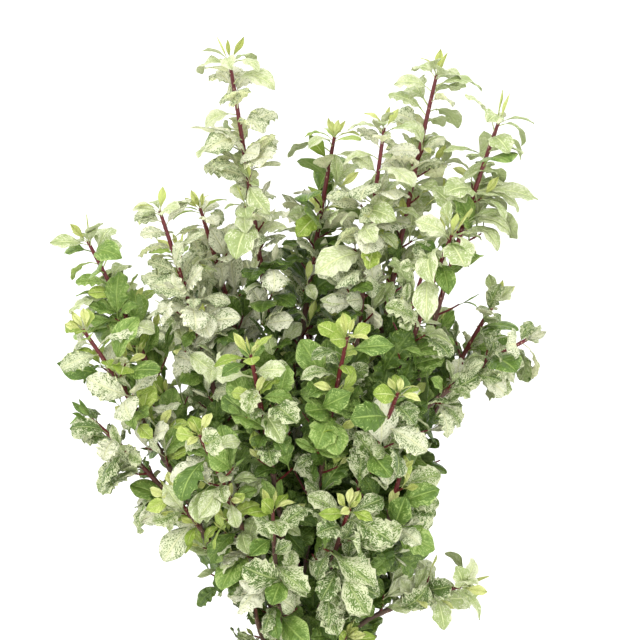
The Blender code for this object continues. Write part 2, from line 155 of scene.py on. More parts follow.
# %% Finishes
def srgb(red, green, blue):
    """A colour that is given as on a screen, from 0 to 255, as the light it stands for."""
    shares = (channel / 255 for channel in (red, green, blue))
    return (*((s / 12.92 if s <= 0.04045 else ((s + 0.055) / 1.055) ** 2.4) for s in shares), 1.0)


class Finish(Board):
    """A material under the brush."""

    def __init__(self, name):
        self.material = bpy.data.materials.new(name)
        self.material.use_nodes = True
        super().__init__(self.material.node_tree)
        self.where = self.node("ShaderNodeTexCoord", {}, {}, "Object")

    def paint(self, **sockets):
        named = {key.replace("_", " "): value for key, value in sockets.items()}
        shader = self.tree.nodes["Principled BSDF"]
        own_names = {socket.name.lower(): socket.name for socket in shader.inputs}
        self.fill(shader, {own_names[key]: value for key, value in named.items()})
        return self.material

    def clouds(self, size, where=None, detail=2.0):
        """Noise whose lumps measure about `size`."""
        sockets = {"Vector": where or self.where, "Scale": 1 / size, "Detail": detail}
        return self.node("ShaderNodeTexNoise", {}, sockets)

    def cells(self, size, where=None):
        """The distance to the nearest of many scattered points, about `size` apart."""
        return self.node("ShaderNodeTexVoronoi", {}, {"Vector": where or self.where, "Scale": 1 / size})

    def fade(self, value, low, high):
        """From 0 at low to 1 at high."""
        sockets = {"Value": value, "From Min": low, "From Max": high}
        return self.node("ShaderNodeMapRange", {"interpolation_type": "SMOOTHSTEP"}, sockets)

    def blend(self, share, first, second):
        return self.node("ShaderNodeMix", {"data_type": "RGBA"}, {0: share, 6: first, 7: second}, 2)

    def relief(self, height, depth):
        return self.node("ShaderNodeBump", {}, {"Height": height, "Distance": depth})

    def stored(self, name):
        """A number that the mesh carries at each of its points."""
        return self.node("ShaderNodeAttribute", {"attribute_name": name}, {}, "Fac")


# %% [markdown]
# ## Recipes
#
# Leaves, shoots and chips of bark repeat by the hundred, so Geometry Nodes make them. A `Recipe`
# is such a tree with named inputs. `bake` runs it once on a mesh of points or lines, keeps the
# result as a plain mesh, and takes the modifier off again.

# %% Recipes
def add_object(name, mesh):
    made = bpy.data.objects.new(name, mesh)
    bpy.context.scene.collection.objects.link(made)
    return made


class Recipe(Board):
    """A Geometry Nodes tree that turns one mesh into another."""

    def __init__(self, name, **inputs):
        super().__init__(bpy.data.node_groups.new(name, "GeometryNodeTree"))
        sockets = self.tree.interface
        sockets.new_socket("Geometry", in_out="INPUT", socket_type="NodeSocketGeometry")
        sockets.new_socket("Geometry", in_out="OUTPUT", socket_type="NodeSocketGeometry")
        for label, kind in inputs.items():
            sockets.new_socket(label, in_out="INPUT", socket_type=f"NodeSocket{kind}")
        self.start = self.tree.nodes.new("NodeGroupInput")
        self.end = self.tree.nodes.new("NodeGroupOutput")

    def given(self, label):
        return Wire(self, self.start.outputs[label])

    def stored(self, name, kind="FLOAT"):
        return self.node("GeometryNodeInputNamedAttribute", {"data_type": kind}, {"Name": name})

    def finish_with(self, geometry, **finishes):
        """Makes the instances real, and lays each finish on the faces that its attribute picks."""
        real = self.node("GeometryNodeRealizeInstances", {}, {"Geometry": geometry})
        for label, picked in finishes.items():
            sockets = {"Geometry": real, "Material": self.given(label)}
            if picked:
                sockets["Selection"] = self.stored(picked, "BOOLEAN")
            real = self.node("GeometryNodeSetMaterial", {}, sockets)
        self.fill(self.end, {0: real})

    def bake(self, name, mesh, **values):
        """Runs the recipe once on a mesh and keeps what it makes as a plain mesh."""
        made = add_object(name, mesh)
        modifier = made.modifiers.new(name, "NODES")
        modifier.node_group = self.tree
        for item in self.tree.interface.items_tree:
            if item.in_out == "INPUT" and item.name in values:
                modifier[item.identifier] = values[item.name]
        graph = bpy.context.evaluated_depsgraph_get()
        plain = bpy.data.meshes.new_from_object(made.evaluated_get(graph))
        made.modifiers.remove(modifier)
        made.data = plain
        plain.name = name
        return made


def triangles(piece):
    piece.data.calc_loop_triangles()
    return len(piece.data.loop_triangles)


# %% [markdown]
# ## Camera, floor and light
#
# The plant was photographed on white, from a little above the middle of the crown, with a long
# lens. The pot is below the frame. A pale floor that runs far back gives the same white field
# without a backdrop. The light is a bright, even sky with one broad, soft sun, because the
# photograph has hardly any shadows. A large soft box on either side puts a gentle shine on the
# leaves, and a smaller one behind the plant lightens the far edges.

# %% Camera, floor and light
PHOTO_PIXELS = 640
PIXEL = 0.875 * MM
SENSOR = 36
CAMERA_DISTANCE = 2.2
CAMERA_TILT = math.radians(7)
CAMERA_TARGET = Vector((0.0175, 0, 0.555))
FLOOR_REACH = 40
SKY_STRENGTH = 1.52
SUN_STRENGTH = 0.56
SUN_SPREAD = math.radians(28)

def make_camera():
    data = bpy.data.cameras.new("camera")
    data.sensor_width = SENSOR
    data.lens = SENSOR * CAMERA_DISTANCE / (PHOTO_PIXELS * PIXEL)
    data.clip_end = 100
    camera = bpy.data.objects.new("camera", data)
    back = Vector((0, -math.cos(CAMERA_TILT), math.sin(CAMERA_TILT)))
    camera.location = CAMERA_TARGET + back * CAMERA_DISTANCE
    camera.rotation_euler = (math.pi / 2 - CAMERA_TILT, 0, 0)
    bpy.context.scene.collection.objects.link(camera)
    bpy.context.scene.camera = camera
    print("lens, mm:", round(data.lens, 1))


def make_floor():
    finish = Finish("floor")
    tone = finish.blend(finish.clouds(0.8), srgb(240, 240, 239), srgb(245, 245, 244))
    mesh = bpy.data.meshes.new("floor")
    corners = [(-1, -1, 0), (1, -1, 0), (1, 1, 0), (-1, 1, 0)]
    mesh.from_pydata([Vector(corner) * FLOOR_REACH for corner in corners], [], [(0, 1, 2, 3)])
    mesh.materials.append(finish.paint(base_color=tone, roughness=0.9))
    add_object("floor", mesh)


def add_light(name, kind, place, power, **shape):
    data = bpy.data.lights.new(name, kind)
    data.energy = power
    for key, value in shape.items():
        setattr(data, key, value)
    light = bpy.data.objects.new(name, data)
    light.location = place
    light.rotation_euler = (CAMERA_TARGET - Vector(place)).to_track_quat("-Z", "Y").to_euler()
    bpy.context.scene.collection.objects.link(light)


def light_studio():
    world = bpy.data.worlds.new("studio")
    world.use_nodes = True
    world.node_tree.nodes["Background"].inputs["Color"].default_value = (1, 1, 1, 1)
    world.node_tree.nodes["Background"].inputs["Strength"].default_value = SKY_STRENGTH
    bpy.context.scene.world = world
    bpy.context.scene.view_settings.view_transform = "Standard"
    add_light("sun", "SUN", (-1.2, -1.6, 2.8), SUN_STRENGTH, angle=SUN_SPREAD)
    add_light("key_box", "AREA", (-1.5, -2.5, 1.6), 15, size=1.6)
    add_light("fill_box", "AREA", (1.2, -2.4, 0.35), 14, size=1.6)
    add_light("rim_box", "AREA", (1.9, 1.2, 1.6), 6, size=1.2)


make_camera()
make_floor()
light_studio()

# %% [markdown]
# ## The clay pot
#
# The real pot is thrown or turned: a tapering wall, a thick collar round the rim, and holes in
# its floor. A turned profile swept round the axis is the natural way. The profile repeats the
# source's sizes, with its corners rounded by short arcs, and the faint rings left by the
# turning tool are in the profile itself, so that they show in the outline too.

# %% The pot's profile
POT_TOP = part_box("pot")[1].z
RIM_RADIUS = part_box("pot")[1].x
FOOT_RADIUS = 0.078
WALL = 0.009
FLOOR = 0.014
COLLAR = 0.042
COLLAR_STEP = 0.006
COLLAR_SLOPE = 0.35
LIP = 0.0025
LIP_STEPS = 5
THROWING_STEP = 0.0060
THROWING_DEPTH = 0.00020
POINTS_PER_RING = 3
POT_SIDES = 112
DRAIN_RADIUS = 0.007
DRAIN_RING = 0.042
DRAIN_HOLES = 4

def outer_radius(height):
    return FOOT_RADIUS + (RIM_RADIUS - COLLAR_STEP - FOOT_RADIUS) * height / POT_TOP


def inner_radius(height):
    return outer_radius(height) - WALL


def rounded(corner, before, after):
    """A short curve in place of a corner of the profile."""
    start = corner + (before - corner).normalized() * LIP
    end = corner + (after - corner).normalized() * LIP
    shares = [step / LIP_STEPS for step in range(LIP_STEPS + 1)]
    return [start.lerp(corner, s).lerp(corner.lerp(end, s), s) for s in shares]


def pot_profile():
    collar = POT_TOP - COLLAR
    corners = [
        (0, 0),
        (FOOT_RADIUS, 0),
        (outer_radius(collar), collar),
        (RIM_RADIUS - COLLAR_STEP * COLLAR_SLOPE, collar + LIP * 0.5),
        (RIM_RADIUS, POT_TOP),
        (inner_radius(POT_TOP), POT_TOP),
        (inner_radius(FLOOR), FLOOR),
        (0, FLOOR),
    ]
    corners = [Vector(corner) for corner in corners]
    profile = [corners[0]]
    for before, corner, after in zip(corners, corners[1:], corners[2:]):
        bend = rounded(corner, before, after)
        profile += thrown(profile[-1], bend[0]) + bend
    return profile + [corners[-1]]


def thrown(start, end):
    """The points between two corners, rippled across an upright wall by the turning tool."""
    run = end - start
    if abs(run.y) < abs(run.x):
        return []
    side = Vector((run.y, -run.x)).normalized()
    count = round(run.length / THROWING_STEP * POINTS_PER_RING)
    points = []
    for step in range(1, count):
        share = step / count
        ripple = math.sin(share * run.length / THROWING_STEP * 2 * math.pi)
        depth = THROWING_DEPTH * math.sin(share * math.pi)
        points.append(start.lerp(end, share) + side * ripple * depth)
    return points


# %% Turning a profile
def turned_mesh(name, profile, sides):
    """A closed solid from (radius, height) points whose ends lie on the axis."""
    inner = profile[1:-1]
    angles = [2 * math.pi * side / sides for side in range(sides)]
    points = [(0, 0, profile[0][1]), (0, 0, profile[-1][1])]
    points += [(r * math.cos(a), r * math.sin(a), z) for r, z in inner for a in angles]
    faces = []
    for side in range(sides):
        a, b = 2 + side, 2 + (side + 1) % sides
        faces.append((0, b, a))
        for row in range(len(inner) - 1):
            low, high = row * sides, (row + 1) * sides
            faces.append((a + low, b + low, b + high, a + high))
        top = (len(inner) - 1) * sides
        faces.append((1, a + top, b + top))
    mesh = bpy.data.meshes.new(name)
    mesh.from_pydata(points, [], faces)
    mesh.shade_smooth()
    return mesh


# %% [markdown]
# Fired clay is never one flat orange. The body is clouded, darker grit shows in it, and salts
# from the water leave a pale bloom, mostly on the upper wall. All three are noise at their own
# real scale, and the same grit gives the surface its tooth through a bump.

# %% Clay finish and the finished pot
def clay_finish():
    finish = Finish("clay")
    height = finish.parts(finish.where)[2]
    body = finish.blend(finish.clouds(0.05, detail=5), srgb(134, 72, 48), srgb(168, 101, 71))
    grit = finish.fade(finish.clouds(0.0016, detail=3), 0.60, 0.68)
    body = finish.blend(grit * 0.55, body, srgb(100, 54, 38))
    bloom = finish.fade(finish.clouds(0.014, detail=7) + height * 0.9, 0.62, 0.92)
    body = finish.blend(bloom * 0.30, body, srgb(190, 168, 148))
    tooth = finish.clouds(0.0011, detail=4) + bloom * 0.2 - grit * 0.3
    return finish.paint(
        base_color=body,
        roughness=0.74 + bloom * 0.18,
        normal=finish.relief(tooth, 0.0005),
    )


def make_pot():
    pot = add_object("clay_pot", turned_mesh("clay_pot", pot_profile(), POT_SIDES))
    cutter = bmesh.new()
    for index in range(DRAIN_HOLES):
        bearing = math.radians(45 + index * 360 / DRAIN_HOLES)
        place = Vector((math.cos(bearing), math.sin(bearing), 0)) * DRAIN_RING
        bmesh.ops.create_cone(
            cutter,
            cap_ends=True,
            segments=32,
            radius1=DRAIN_RADIUS,
            radius2=DRAIN_RADIUS,
            depth=FLOOR * 3,
            matrix=Matrix.Translation(place),
        )
    mesh = bpy.data.meshes.new("drains")
    cutter.to_mesh(mesh)
    cutter.free()
    drains = add_object("drains", mesh)
    drill = pot.modifiers.new("drill", "BOOLEAN")
    drill.operation, drill.object, drill.solver = "DIFFERENCE", drains, "MANIFOLD"
    graph = bpy.context.evaluated_depsgraph_get()
    pot.data = bpy.data.meshes.new_from_object(pot.evaluated_get(graph))
    pot.modifiers.clear()
    bpy.data.objects.remove(drains)
    pot.data.set_sharp_from_angle(angle=math.radians(50))
    pot.data.materials.clear()
    pot.data.materials.append(clay_finish())
    return pot


def settle(piece, slot, *nodes):
    """Attaches a finished piece to the root body, hides the CAD nodes that it stands for and prints its
    triangles. The slot is not used.
    """
    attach(piece, "root")
    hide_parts(*nodes)
    print(piece.name, "has", triangles(piece), "triangles")


settle(make_pot(), "clay", "pot")

# %% [markdown]
# ## The compost
#
# Potting compost is a dark, crumbly bed with chips of bark, twiggy fibres and pale grit lying on
# it. The bed is a closed solid that fills the pot, its top pushed up and down by noise. The
# chips are scattered over it by Geometry Nodes from a few small shapes, each turned and sized by
# a seeded chance, and sunk a little, so that they lie in the bed and not on it.

# %% The bed
COMPOST_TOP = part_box("trunk")[0].z
BED_GAP = 0.0005
BED_STEP = 0.0022
BED_SIDES = 110
BED_LUMP = 0.0022
LUMPS_PER_METRE = 90
CRUMBS_PER_METRE = 420
RIM_FROM = 0.9
RIM_OVER = 0.1
RIM_DROP = 0.002

def make_bed():
    bottom, top = FLOOR + BED_GAP, COMPOST_TOP - MM
    edge = inner_radius(top) - BED_GAP
    rings = [(edge * (1 - step * BED_STEP / edge), top) for step in range(int(edge / BED_STEP))]
    profile = [(0, bottom), (inner_radius(bottom) - BED_GAP, bottom), *rings, (0, top)]
    mesh = turned_mesh("compost_bed", profile, BED_SIDES)
    for vertex in mesh.vertices:
        out = math.hypot(vertex.co.x, vertex.co.y)
        if vertex.co.z > top - MM:
            lump = noise.fractal(vertex.co * LUMPS_PER_METRE, 1.0, 2.0, 3)
            lump += noise.noise(vertex.co * CRUMBS_PER_METRE) * 0.5
            rim = max(0.0, (out / edge - RIM_FROM) / RIM_OVER)
            vertex.co.z += lump * BED_LUMP - rim * RIM_DROP
    return add_object("compost_bed", mesh)


def compost_finish(name, dark, light):
    finish = Finish(name)
    tone = finish.blend(finish.clouds(0.004, detail=5), dark, light)
    crumb = finish.clouds(0.0012, detail=5)
    return finish.paint(base_color=tone, roughness=0.95, normal=finish.relief(crumb, 0.0012))


# %% Chips, fibres and grit
# Length, width and thickness of each kind, in millimetres.
CHIP_SIZES = [(9, 4.5, 1.8), (6, 3.2, 1.4), (11, 1.3, 1.0), (3.4, 2.8, 2.2), (2.2, 2.0, 1.8)]
MOST_CHIPS = 90000.0
WHOLE_TURN = 6.28
# A pair for varied(), as in later cells too: the least, and how much more there may be.
KNOCKS = (0.75, 0.5)

def chance(*keys):
    """A repeatable number from 0 to 1 for these keys, as in the source."""
    mixed = sum(weight * key for weight, key in zip((12.9898, 78.233, 37.719, 4.581), keys))
    return math.sin(mixed) * 43758.5453 % 1.0


def varied(least, spread, *keys):
    """The least and up to `spread` more, by the draw that the keys name."""
    return least + spread * chance(*keys)


def chip_shapes():
    """A collection of rough little lumps, each a ball stretched, with its corners knocked about."""
    shapes = bpy.data.collections.new("chips")
    for kind, size in enumerate(CHIP_SIZES):
        body = bmesh.new()
        bmesh.ops.create_icosphere(body, subdivisions=1, radius=0.55)
        for index, corner in enumerate(body.verts):
            knocked = [varied(*KNOCKS, kind, index, axis) for axis in range(3)]
            corner.co = Vector([c * k * s * MM for c, k, s in zip(corner.co, knocked, size)])
        mesh = bpy.data.meshes.new(f"{kind}_chip")
        body.to_mesh(mesh)
        body.free()
        shapes.objects.link(bpy.data.objects.new(f"{kind}_chip", mesh))
    return shapes


def chip_recipe():
    inputs = dict(Chips="Collection", Gap="Float", Edge="Float", Foot="Float", Finish="Material")
    recipe = Recipe("scattered_chips", **inputs)
    bed = recipe.given("Geometry")
    x, y, z = recipe.parts(recipe.node("GeometryNodeInputPosition", {}, {}))
    out = recipe.node("ShaderNodeMath", {"operation": "SQRT"}, {0: x * x + y * y})
    on_top = recipe.node("FunctionNodeCompare", {}, {0: z, 1: COMPOST_TOP - 0.006})
    clear = recipe.node("FunctionNodeCompare", {}, {0: out, 1: recipe.given("Foot")})
    nearer = {"operation": "LESS_THAN"}
    inside = recipe.node("FunctionNodeCompare", nearer, {0: out, 1: recipe.given("Edge")})
    where = recipe.node("FunctionNodeBooleanMath", {}, {0: on_top, 1: inside})
    where = recipe.node("FunctionNodeBooleanMath", {}, {0: where, 1: clear})
    sockets = {"Mesh": bed, "Selection": where, "Distance Min": recipe.given("Gap")}
    points = recipe.node(
        "GeometryNodeDistributePointsOnFaces",
        {"distribute_method": "POISSON"},
        {**sockets, "Density Max": MOST_CHIPS, "Seed": 3},
    )
    dice, low, high = "FunctionNodeRandomValue", (-0.5, -0.4, 0), (0.5, 0.4, WHOLE_TURN)
    turn = recipe.node(dice, {"data_type": "FLOAT_VECTOR"}, {0: low, 1: high, 8: 5})
    size = recipe.node(dice, {"data_type": "FLOAT"}, {2: 0.6, 3: 1.25, 8: 8}, 1)
    kind = recipe.node(dice, {"data_type": "INT"}, {4: 0, 5: len(CHIP_SIZES) - 1, 8: 2}, 2)
    chips = recipe.node("GeometryNodeCollectionInfo", {}, {0: recipe.given("Chips"), 1: True, 2: True})
    sockets = {"Points": points, "Instance": chips, "Pick Instance": True, "Instance Index": kind}
    placed = recipe.node("GeometryNodeInstanceOnPoints", {}, {**sockets, "Rotation": turn, "Scale": size})
    recipe.finish_with(placed, Finish=None)
    return recipe


def make_compost():
    bed = make_bed()
    chips = chip_recipe().bake(
        "compost_chips",
        bed.data.copy(),
        Chips=chip_shapes(),
        Gap=0.0030,
        Edge=inner_radius(COMPOST_TOP) - 0.006,
        Foot=0.018,
        Finish=compost_finish("bark_chips", srgb(52, 36, 26), srgb(118, 86, 62)),
    )
    bed.data.materials.append(compost_finish("crumbs", srgb(28, 20, 15), srgb(66, 48, 36)))
    return bed, chips


for part in make_compost():
    settle(part, "compost", "compost")


# %% [markdown]
# ## Where the limbs run
#
# The fine wood and the leaves have to lie where the source's solids are, so the source's table
# of shoots is repeated here, with the rule that turns it into curves. Each shoot leaves its
# parent's bark at a set angle, its bough bends to a tip, and a stem goes on from there through
# the foliage. Points are millimetres from the foot of the trunk: right, back and up.

# %% The table of shoots
# Each shoot: its parent, where it starts there, its bough's tip, its stem's end and the reach of
# its leaves. A start on the trunk is a height and a bearing, and on a bough a share of its length.
SHOOTS = {
    "left_spire": ("trunk", (92, 190), (-17, -12, 290), (-60, -20, 596), 42),
    "crown_left": ("left_spire", 0.68, (-42, 16, 296), (-87, 2, 468), 52),
    "crown_top": ("left_spire", 0.86, (-2, 8, 332), (30, -2, 530), 46),
    "left_shoulder": ("trunk", (77, 215), (-52, -20, 222), (-120, -30, 468), 52),
    "left_fan": ("trunk", (63, 178), (-86, -10, 218), (-184, -10, 440), 50),
    "left_edge": ("left_fan", 0.72, (-100, -42, 222), (-184, -66, 370), 50),
    "left_low": ("trunk", (49, 205), (-72, -34, 170), (-178, -60, 292), 48),
    "left_skirt": ("left_low", 0.56, (-66, -54, 166), (-108, -86, 232), 46),
    "left_foot": ("trunk", (38, 222), None, (-38, -84, 134), 46),
    "front_left": ("trunk", (62, 252), (-26, -46, 132), (-82, -132, 290), 57),
    "front_middle": ("trunk", (29, 256), None, (-22, -122, 226), 52),
    "centre_front": ("trunk", (90, 282), (6, -46, 172), (40, -132, 372), 59),
    "front_crown": ("centre_front", 0.66, (-16, -66, 204), (-40, -122, 356), 54),
    "centre_right": ("trunk", (65, 302), (32, -48, 152), (82, -132, 326), 56),
    "front_low": ("trunk", (47, 282), (14, -52, 112), (42, -130, 228), 54),
    "front_foot": ("trunk", (21, 304), None, (40, -66, 104), 44),
    "right_spire": ("trunk", (92, 8), (62, -4, 300), (118, -10, 584), 46),
    "middle_spire": ("right_spire", 0.72, (44, -34, 304), (72, -48, 540), 48),
    "right_shoulder": ("trunk", (78, 348), (98, -28, 306), (170, -36, 545), 52),
    "right_crown": ("right_shoulder", 0.72, (76, -44, 292), (128, -84, 452), 50),
    "right_arm": ("trunk", (51, 326), (100, -64, 296), (194, -56, 360), 40),
    "right_wing": ("right_shoulder", 0.60, (112, 0, 276), (170, -14, 388), 44),
    "right_skirt": ("right_arm", 0.50, (72, -84, 192), (86, -104, 256), 44),
    "right_low": ("trunk", (38, 338), (64, -30, 112), (140, -44, 142), 48),
    "back_left": ("trunk", (76, 140), (-52, 66, 206), (-112, 116, 420), 61),
    "back_crown": ("trunk", (91, 112), (2, 50, 240), (16, 88, 456), 60),
    "back_right": ("trunk", (77, 52), (54, 62, 210), (114, 110, 406), 61),
    "back_low_left": ("trunk", (49, 132), (-36, 46, 128), (-96, 98, 250), 60),
    "back_low_right": ("trunk", (50, 48), (42, 46, 122), (84, 92, 236), 58),
    "back_foot": ("trunk", (35, 88), None, (0, 88, 140), 54),
    "heart": ("trunk", (92, 60), None, (6, 12, 356), 44),
}
TRUNK_HEIGHT = 0.098
TRUNK_LEAN = 0.007
TRUNK_RADIUS = 0.0094
TRUNK_TOP_RADIUS = 0.0074
FLARE_RADIUS = 0.015
FLARE_HEIGHT = 0.016
FLARE_LOBES = 5
FLARE_LOBE_DEPTH = 0.5
BOUGH_RADIUS = 0.0033
SIDE_BOUGH_RADIUS = 0.0023
BOUGH_TIP_RADIUS = 0.0020
STEM_TIP_RADIUS = 0.0012
FOOT_STEM_SWELL = 1.2
LEAVING_ANGLE = math.radians(42)
FORK_ANGLE = math.radians(48)
STEM_BOW = 0.07
FOOT_STEM_RISE = 0.45
BOUGH_EASE = 0.3
CLEARANCE = 0.3 * MM
FARTHEST_BARK = 0.04
CLOSE_ENOUGH = 1e-6
LIMB_STEPS = 12
HEADING_STEP = 0.01

# %% Curves and limbs
def place(point):
    return Vector(point) * MM + UP * COMPOST_TOP


def bezier(points, share):
    points = [Vector(point) for point in points]
    while len(points) > 1:
        points = [a.lerp(b, share) for a, b in zip(points, points[1:])]
    return points[0]


class Limb:
    """A tapering limb along a Bezier curve."""

    def __init__(self, controls, radii):
        self.controls, self.radii = controls, radii
        self.points = [bezier(controls, step / LIMB_STEPS) for step in range(LIMB_STEPS + 1)]

    def at(self, share):
        return bezier(self.controls, share)

    def radius(self, share):
        return self.radii[0] + (self.radii[1] - self.radii[0]) * share

    def heading(self, share):
        before, after = max(share - HEADING_STEP, 0), min(share + HEADING_STEP, 1)
        return (self.at(after) - self.at(before)).normalized()

    def length(self):
        return sum((b - a).length for a, b in zip(self.points, self.points[1:]))

    def clearance(self, point):
        """How far a point lies outside the limb's bark."""
        best = math.inf
        for index, (start, end) in enumerate(zip(self.points, self.points[1:])):
            run = end - start
            share = max(0.0, min(1.0, (point - start).dot(run) / run.length_squared))
            away = (point - start - run * share).length
            best = min(best, away - self.radius((index + share) / LIMB_STEPS))
        return best


def turned(axis, side, angle):
    """The direction of an axis once it is turned towards a side."""
    return (axis * math.cos(angle) + side * math.sin(angle)).normalized()


def trunk_centre(height):
    share = height / TRUNK_HEIGHT
    return Vector((TRUNK_LEAN * share * share, 0, COMPOST_TOP + height))


def trunk_radius(height, bearing):
    """The bark's radius, with its lobed flare at the foot."""
    bole = TRUNK_RADIUS + (TRUNK_TOP_RADIUS - TRUNK_RADIUS) * height / TRUNK_HEIGHT
    flare = (FLARE_RADIUS - TRUNK_RADIUS) * math.exp(-height / FLARE_HEIGHT * 2)
    return bole + flare * (1 + FLARE_LOBE_DEPTH * math.cos(FLARE_LOBES * bearing))


def trunk_bark(point):
    """How far a point lies outside the trunk's bark."""
    height = max(0.0, point.z - COMPOST_TOP)
    out = point - trunk_centre(height)
    return math.hypot(out.x, out.y) - trunk_radius(height, math.atan2(out.y, out.x))


# %% [markdown]
# A bough starts on its parent's bark. The way out from the parent's middle is halved again and
# again until the point lies on the bark, which is simpler than working out where a line meets a
# bent and tapering limb. The middle is kept as well, because the fine limb grows from there, so
# that no gap shows in the fork.

# %% From the table to limbs
def rooting(name, boughs):
    """The middle of the parent, the point on its bark, and the direction a shoot leaves in."""
    parent, start, tip, _, _ = SHOOTS[name]
    if parent in boughs:
        centre, heading = boughs[parent].at(start), boughs[parent].heading(start)
        away = place(tip) - centre
        sideways = (away - heading * away.dot(heading)).normalized()
        leaving, bark = turned(heading, sideways, FORK_ANGLE), boughs[parent].clearance
    else:
        bearing = Vector((math.cos(math.radians(start[1])), math.sin(math.radians(start[1])), 0))
        centre = trunk_centre(start[0] * MM)
        leaving, bark = turned(bearing, UP, LEAVING_ANGLE), trunk_bark
    low, high = 0.0, FARTHEST_BARK
    while high - low > CLOSE_ENOUGH:
        middle = (low + high) / 2
        low, high = (middle, high) if bark(centre + leaving * middle) < CLEARANCE else (low, middle)
    return centre, centre + leaving * high, leaving


def plan_limbs():
    """(boughs, stems, forks): the limbs, and the point inside its parent that each grows from."""
    boughs, stems, forks = {}, {}, {}
    for name, (parent, _, tip, end, _) in SHOOTS.items():
        forks[name], root, leaving = rooting(name, boughs)
        end = place(end)
        if tip is None:
            controls = [root, root + leaving * (end - root).length * FOOT_STEM_RISE, end]
            stems[name] = Limb(controls, (BOUGH_TIP_RADIUS * FOOT_STEM_SWELL, STEM_TIP_RADIUS))
            continue
        tip = place(tip)
        bow = tip.lerp(end, 0.5) + UP * (end - tip).length * STEM_BOW
        onward = (bow - tip).normalized()
        run = (tip - root).length
        controls = [root, root + leaving * run * BOUGH_EASE, tip - onward * run * BOUGH_EASE, tip]
        thickness = BOUGH_RADIUS if parent == "trunk" else SIDE_BOUGH_RADIUS
        boughs[name] = Limb(controls, (thickness, BOUGH_TIP_RADIUS))
        stems[name] = Limb([tip, bow, end], (BOUGH_TIP_RADIUS, STEM_TIP_RADIUS))
    return boughs, stems, forks


boughs, stems, forks = plan_limbs()
wood_length = sum(limb.length() for limb in (*boughs.values(), *stems.values()))
print(len(boughs), "boughs and", len(stems), "stems,", round(wood_length, 2), "m of wood")

# %% [markdown]
# ## Bark
#
# Old pittosporum bark is grey-brown and finely furrowed, with small corky dots. Along a shoot
# it turns redder and smoother, and this year's wood is dark crimson and has a slight shine, with
# pale dots where it breathes. So bark isn't one colour but a run of them: every point of the
# wood stores how young it is, from 0 on the trunk to 1 at a twig's tip, and the finish reads it.
# The lower shoots of the real plant are the older ones, so the height counts a little as well.

# %% Bark finish
MIDDLE_HEIGHT = 0.45

def bark_finish():
    finish = Finish("bark")
    young = finish.stored("young")
    cloud = finish.clouds(0.006, detail=4)
    old = finish.blend(cloud, srgb(58, 42, 33), srgb(112, 90, 74))
    red = finish.blend(cloud, srgb(70, 8, 13), srgb(110, 20, 26))
    x, y, z = finish.parts(finish.where)
    turning = finish.fade(young + (cloud - 0.5) * 0.3 + (z - MIDDLE_HEIGHT) * 0.6, 0.46, 0.82)
    tone = finish.blend(turning, old, red)
    drawn = finish.vector(x, y, z * 0.55)
    dots = 1 - finish.fade(finish.cells(0.0034, drawn), 0.13, 0.22)
    tone = finish.blend(dots * 0.55, tone, srgb(196, 160, 138))
    grain = finish.clouds(0.0010, finish.vector(x, y, z * 0.3), detail=3)
    return finish.paint(
        base_color=tone,
        roughness=0.72 - turning * 0.28,
        normal=finish.relief(grain * (1 - turning * 0.6) + dots * 0.5, 0.0004),
    )


# %% [markdown]
# ## The trunk
#
# The trunk is one closed skin. Its rings follow the source's own radius and lean, so the flare
# and its lobes are where the solid has them, and furrows are cut into the rings by noise that is
# drawn out along the trunk. Its top ends in a low dome between the boughs.

# %% The trunk's skin
TRUNK_SIDES = 56
TRUNK_RINGS = 64
FURROW = 0.0006
FURROWS_ROUND = 2.2
FURROWS_UP = 42
FURROW_SCALE = 1.6
SMOOTH_RINGS = 4
DOME_STEPS = 6
DOME_RISE = 0.45

def make_trunk():
    points, faces = [], []
    for row in range(TRUNK_RINGS + 1):
        height = TRUNK_HEIGHT * row / TRUNK_RINGS
        for side in range(TRUNK_SIDES):
            bearing = 2 * math.pi * side / TRUNK_SIDES
            out = Vector((math.cos(bearing), math.sin(bearing), 0))
            spot = Vector((out.x * FURROWS_ROUND, out.y * FURROWS_ROUND, height * FURROWS_UP))
            furrow = noise.fractal(spot * FURROW_SCALE, 1.0, 2.1, 4) * FURROW * min(1, row / SMOOTH_RINGS)
            points.append(trunk_centre(height) + out * (trunk_radius(height, bearing) + furrow))
    top, last_ring = trunk_centre(TRUNK_HEIGHT), points[-TRUNK_SIDES:]
    for step in range(1, DOME_STEPS):
        angle = step * math.pi / (2 * DOME_STEPS)
        lift = UP * TRUNK_TOP_RADIUS * DOME_RISE * math.sin(angle)
        points += [top + (point - top) * math.cos(angle) + lift for point in last_ring]
    rows = len(points) // TRUNK_SIDES
    for row in range(rows - 1):
        for side in range(TRUNK_SIDES):
            a, b = row * TRUNK_SIDES + side, row * TRUNK_SIDES + (side + 1) % TRUNK_SIDES
            faces.append((a, b, b + TRUNK_SIDES, a + TRUNK_SIDES))
    faces.append(tuple(range(TRUNK_SIDES))[::-1])
    faces.append(tuple(range((rows - 1) * TRUNK_SIDES, rows * TRUNK_SIDES)))
    mesh = bpy.data.meshes.new("trunk_bark")
    mesh.from_pydata(points, [], faces)
    mesh.shade_smooth()
    mesh.attributes.new("young", "FLOAT", "POINT")
    mesh.materials.append(bark)
    return add_object("trunk_bark", mesh)


bark = bark_finish()
settle(make_trunk(), "bark", "trunk")

# %% [markdown]
# ## Boughs, stems and twigs
#
# Each limb is drawn as a line whose points carry a radius and an age, and one recipe gives every
# line its skin: the line becomes a curve, a ring is swept along it at the stored radius, and
# noise pushes the skin in and out. A bough swells into a collar where it joins its parent.

# %% Lines for the limbs
LimbPoint = namedtuple("LimbPoint", "place radius young")
BOUGH_LINE_STEP = 0.0022
ROOT_SHARE = 0.8
COLLAR_SWELL = 0.55
COLLAR_LENGTH = 0.007
YOUNG_AT_BOUGH_TIP = 0.42
RIPENING = 1.4

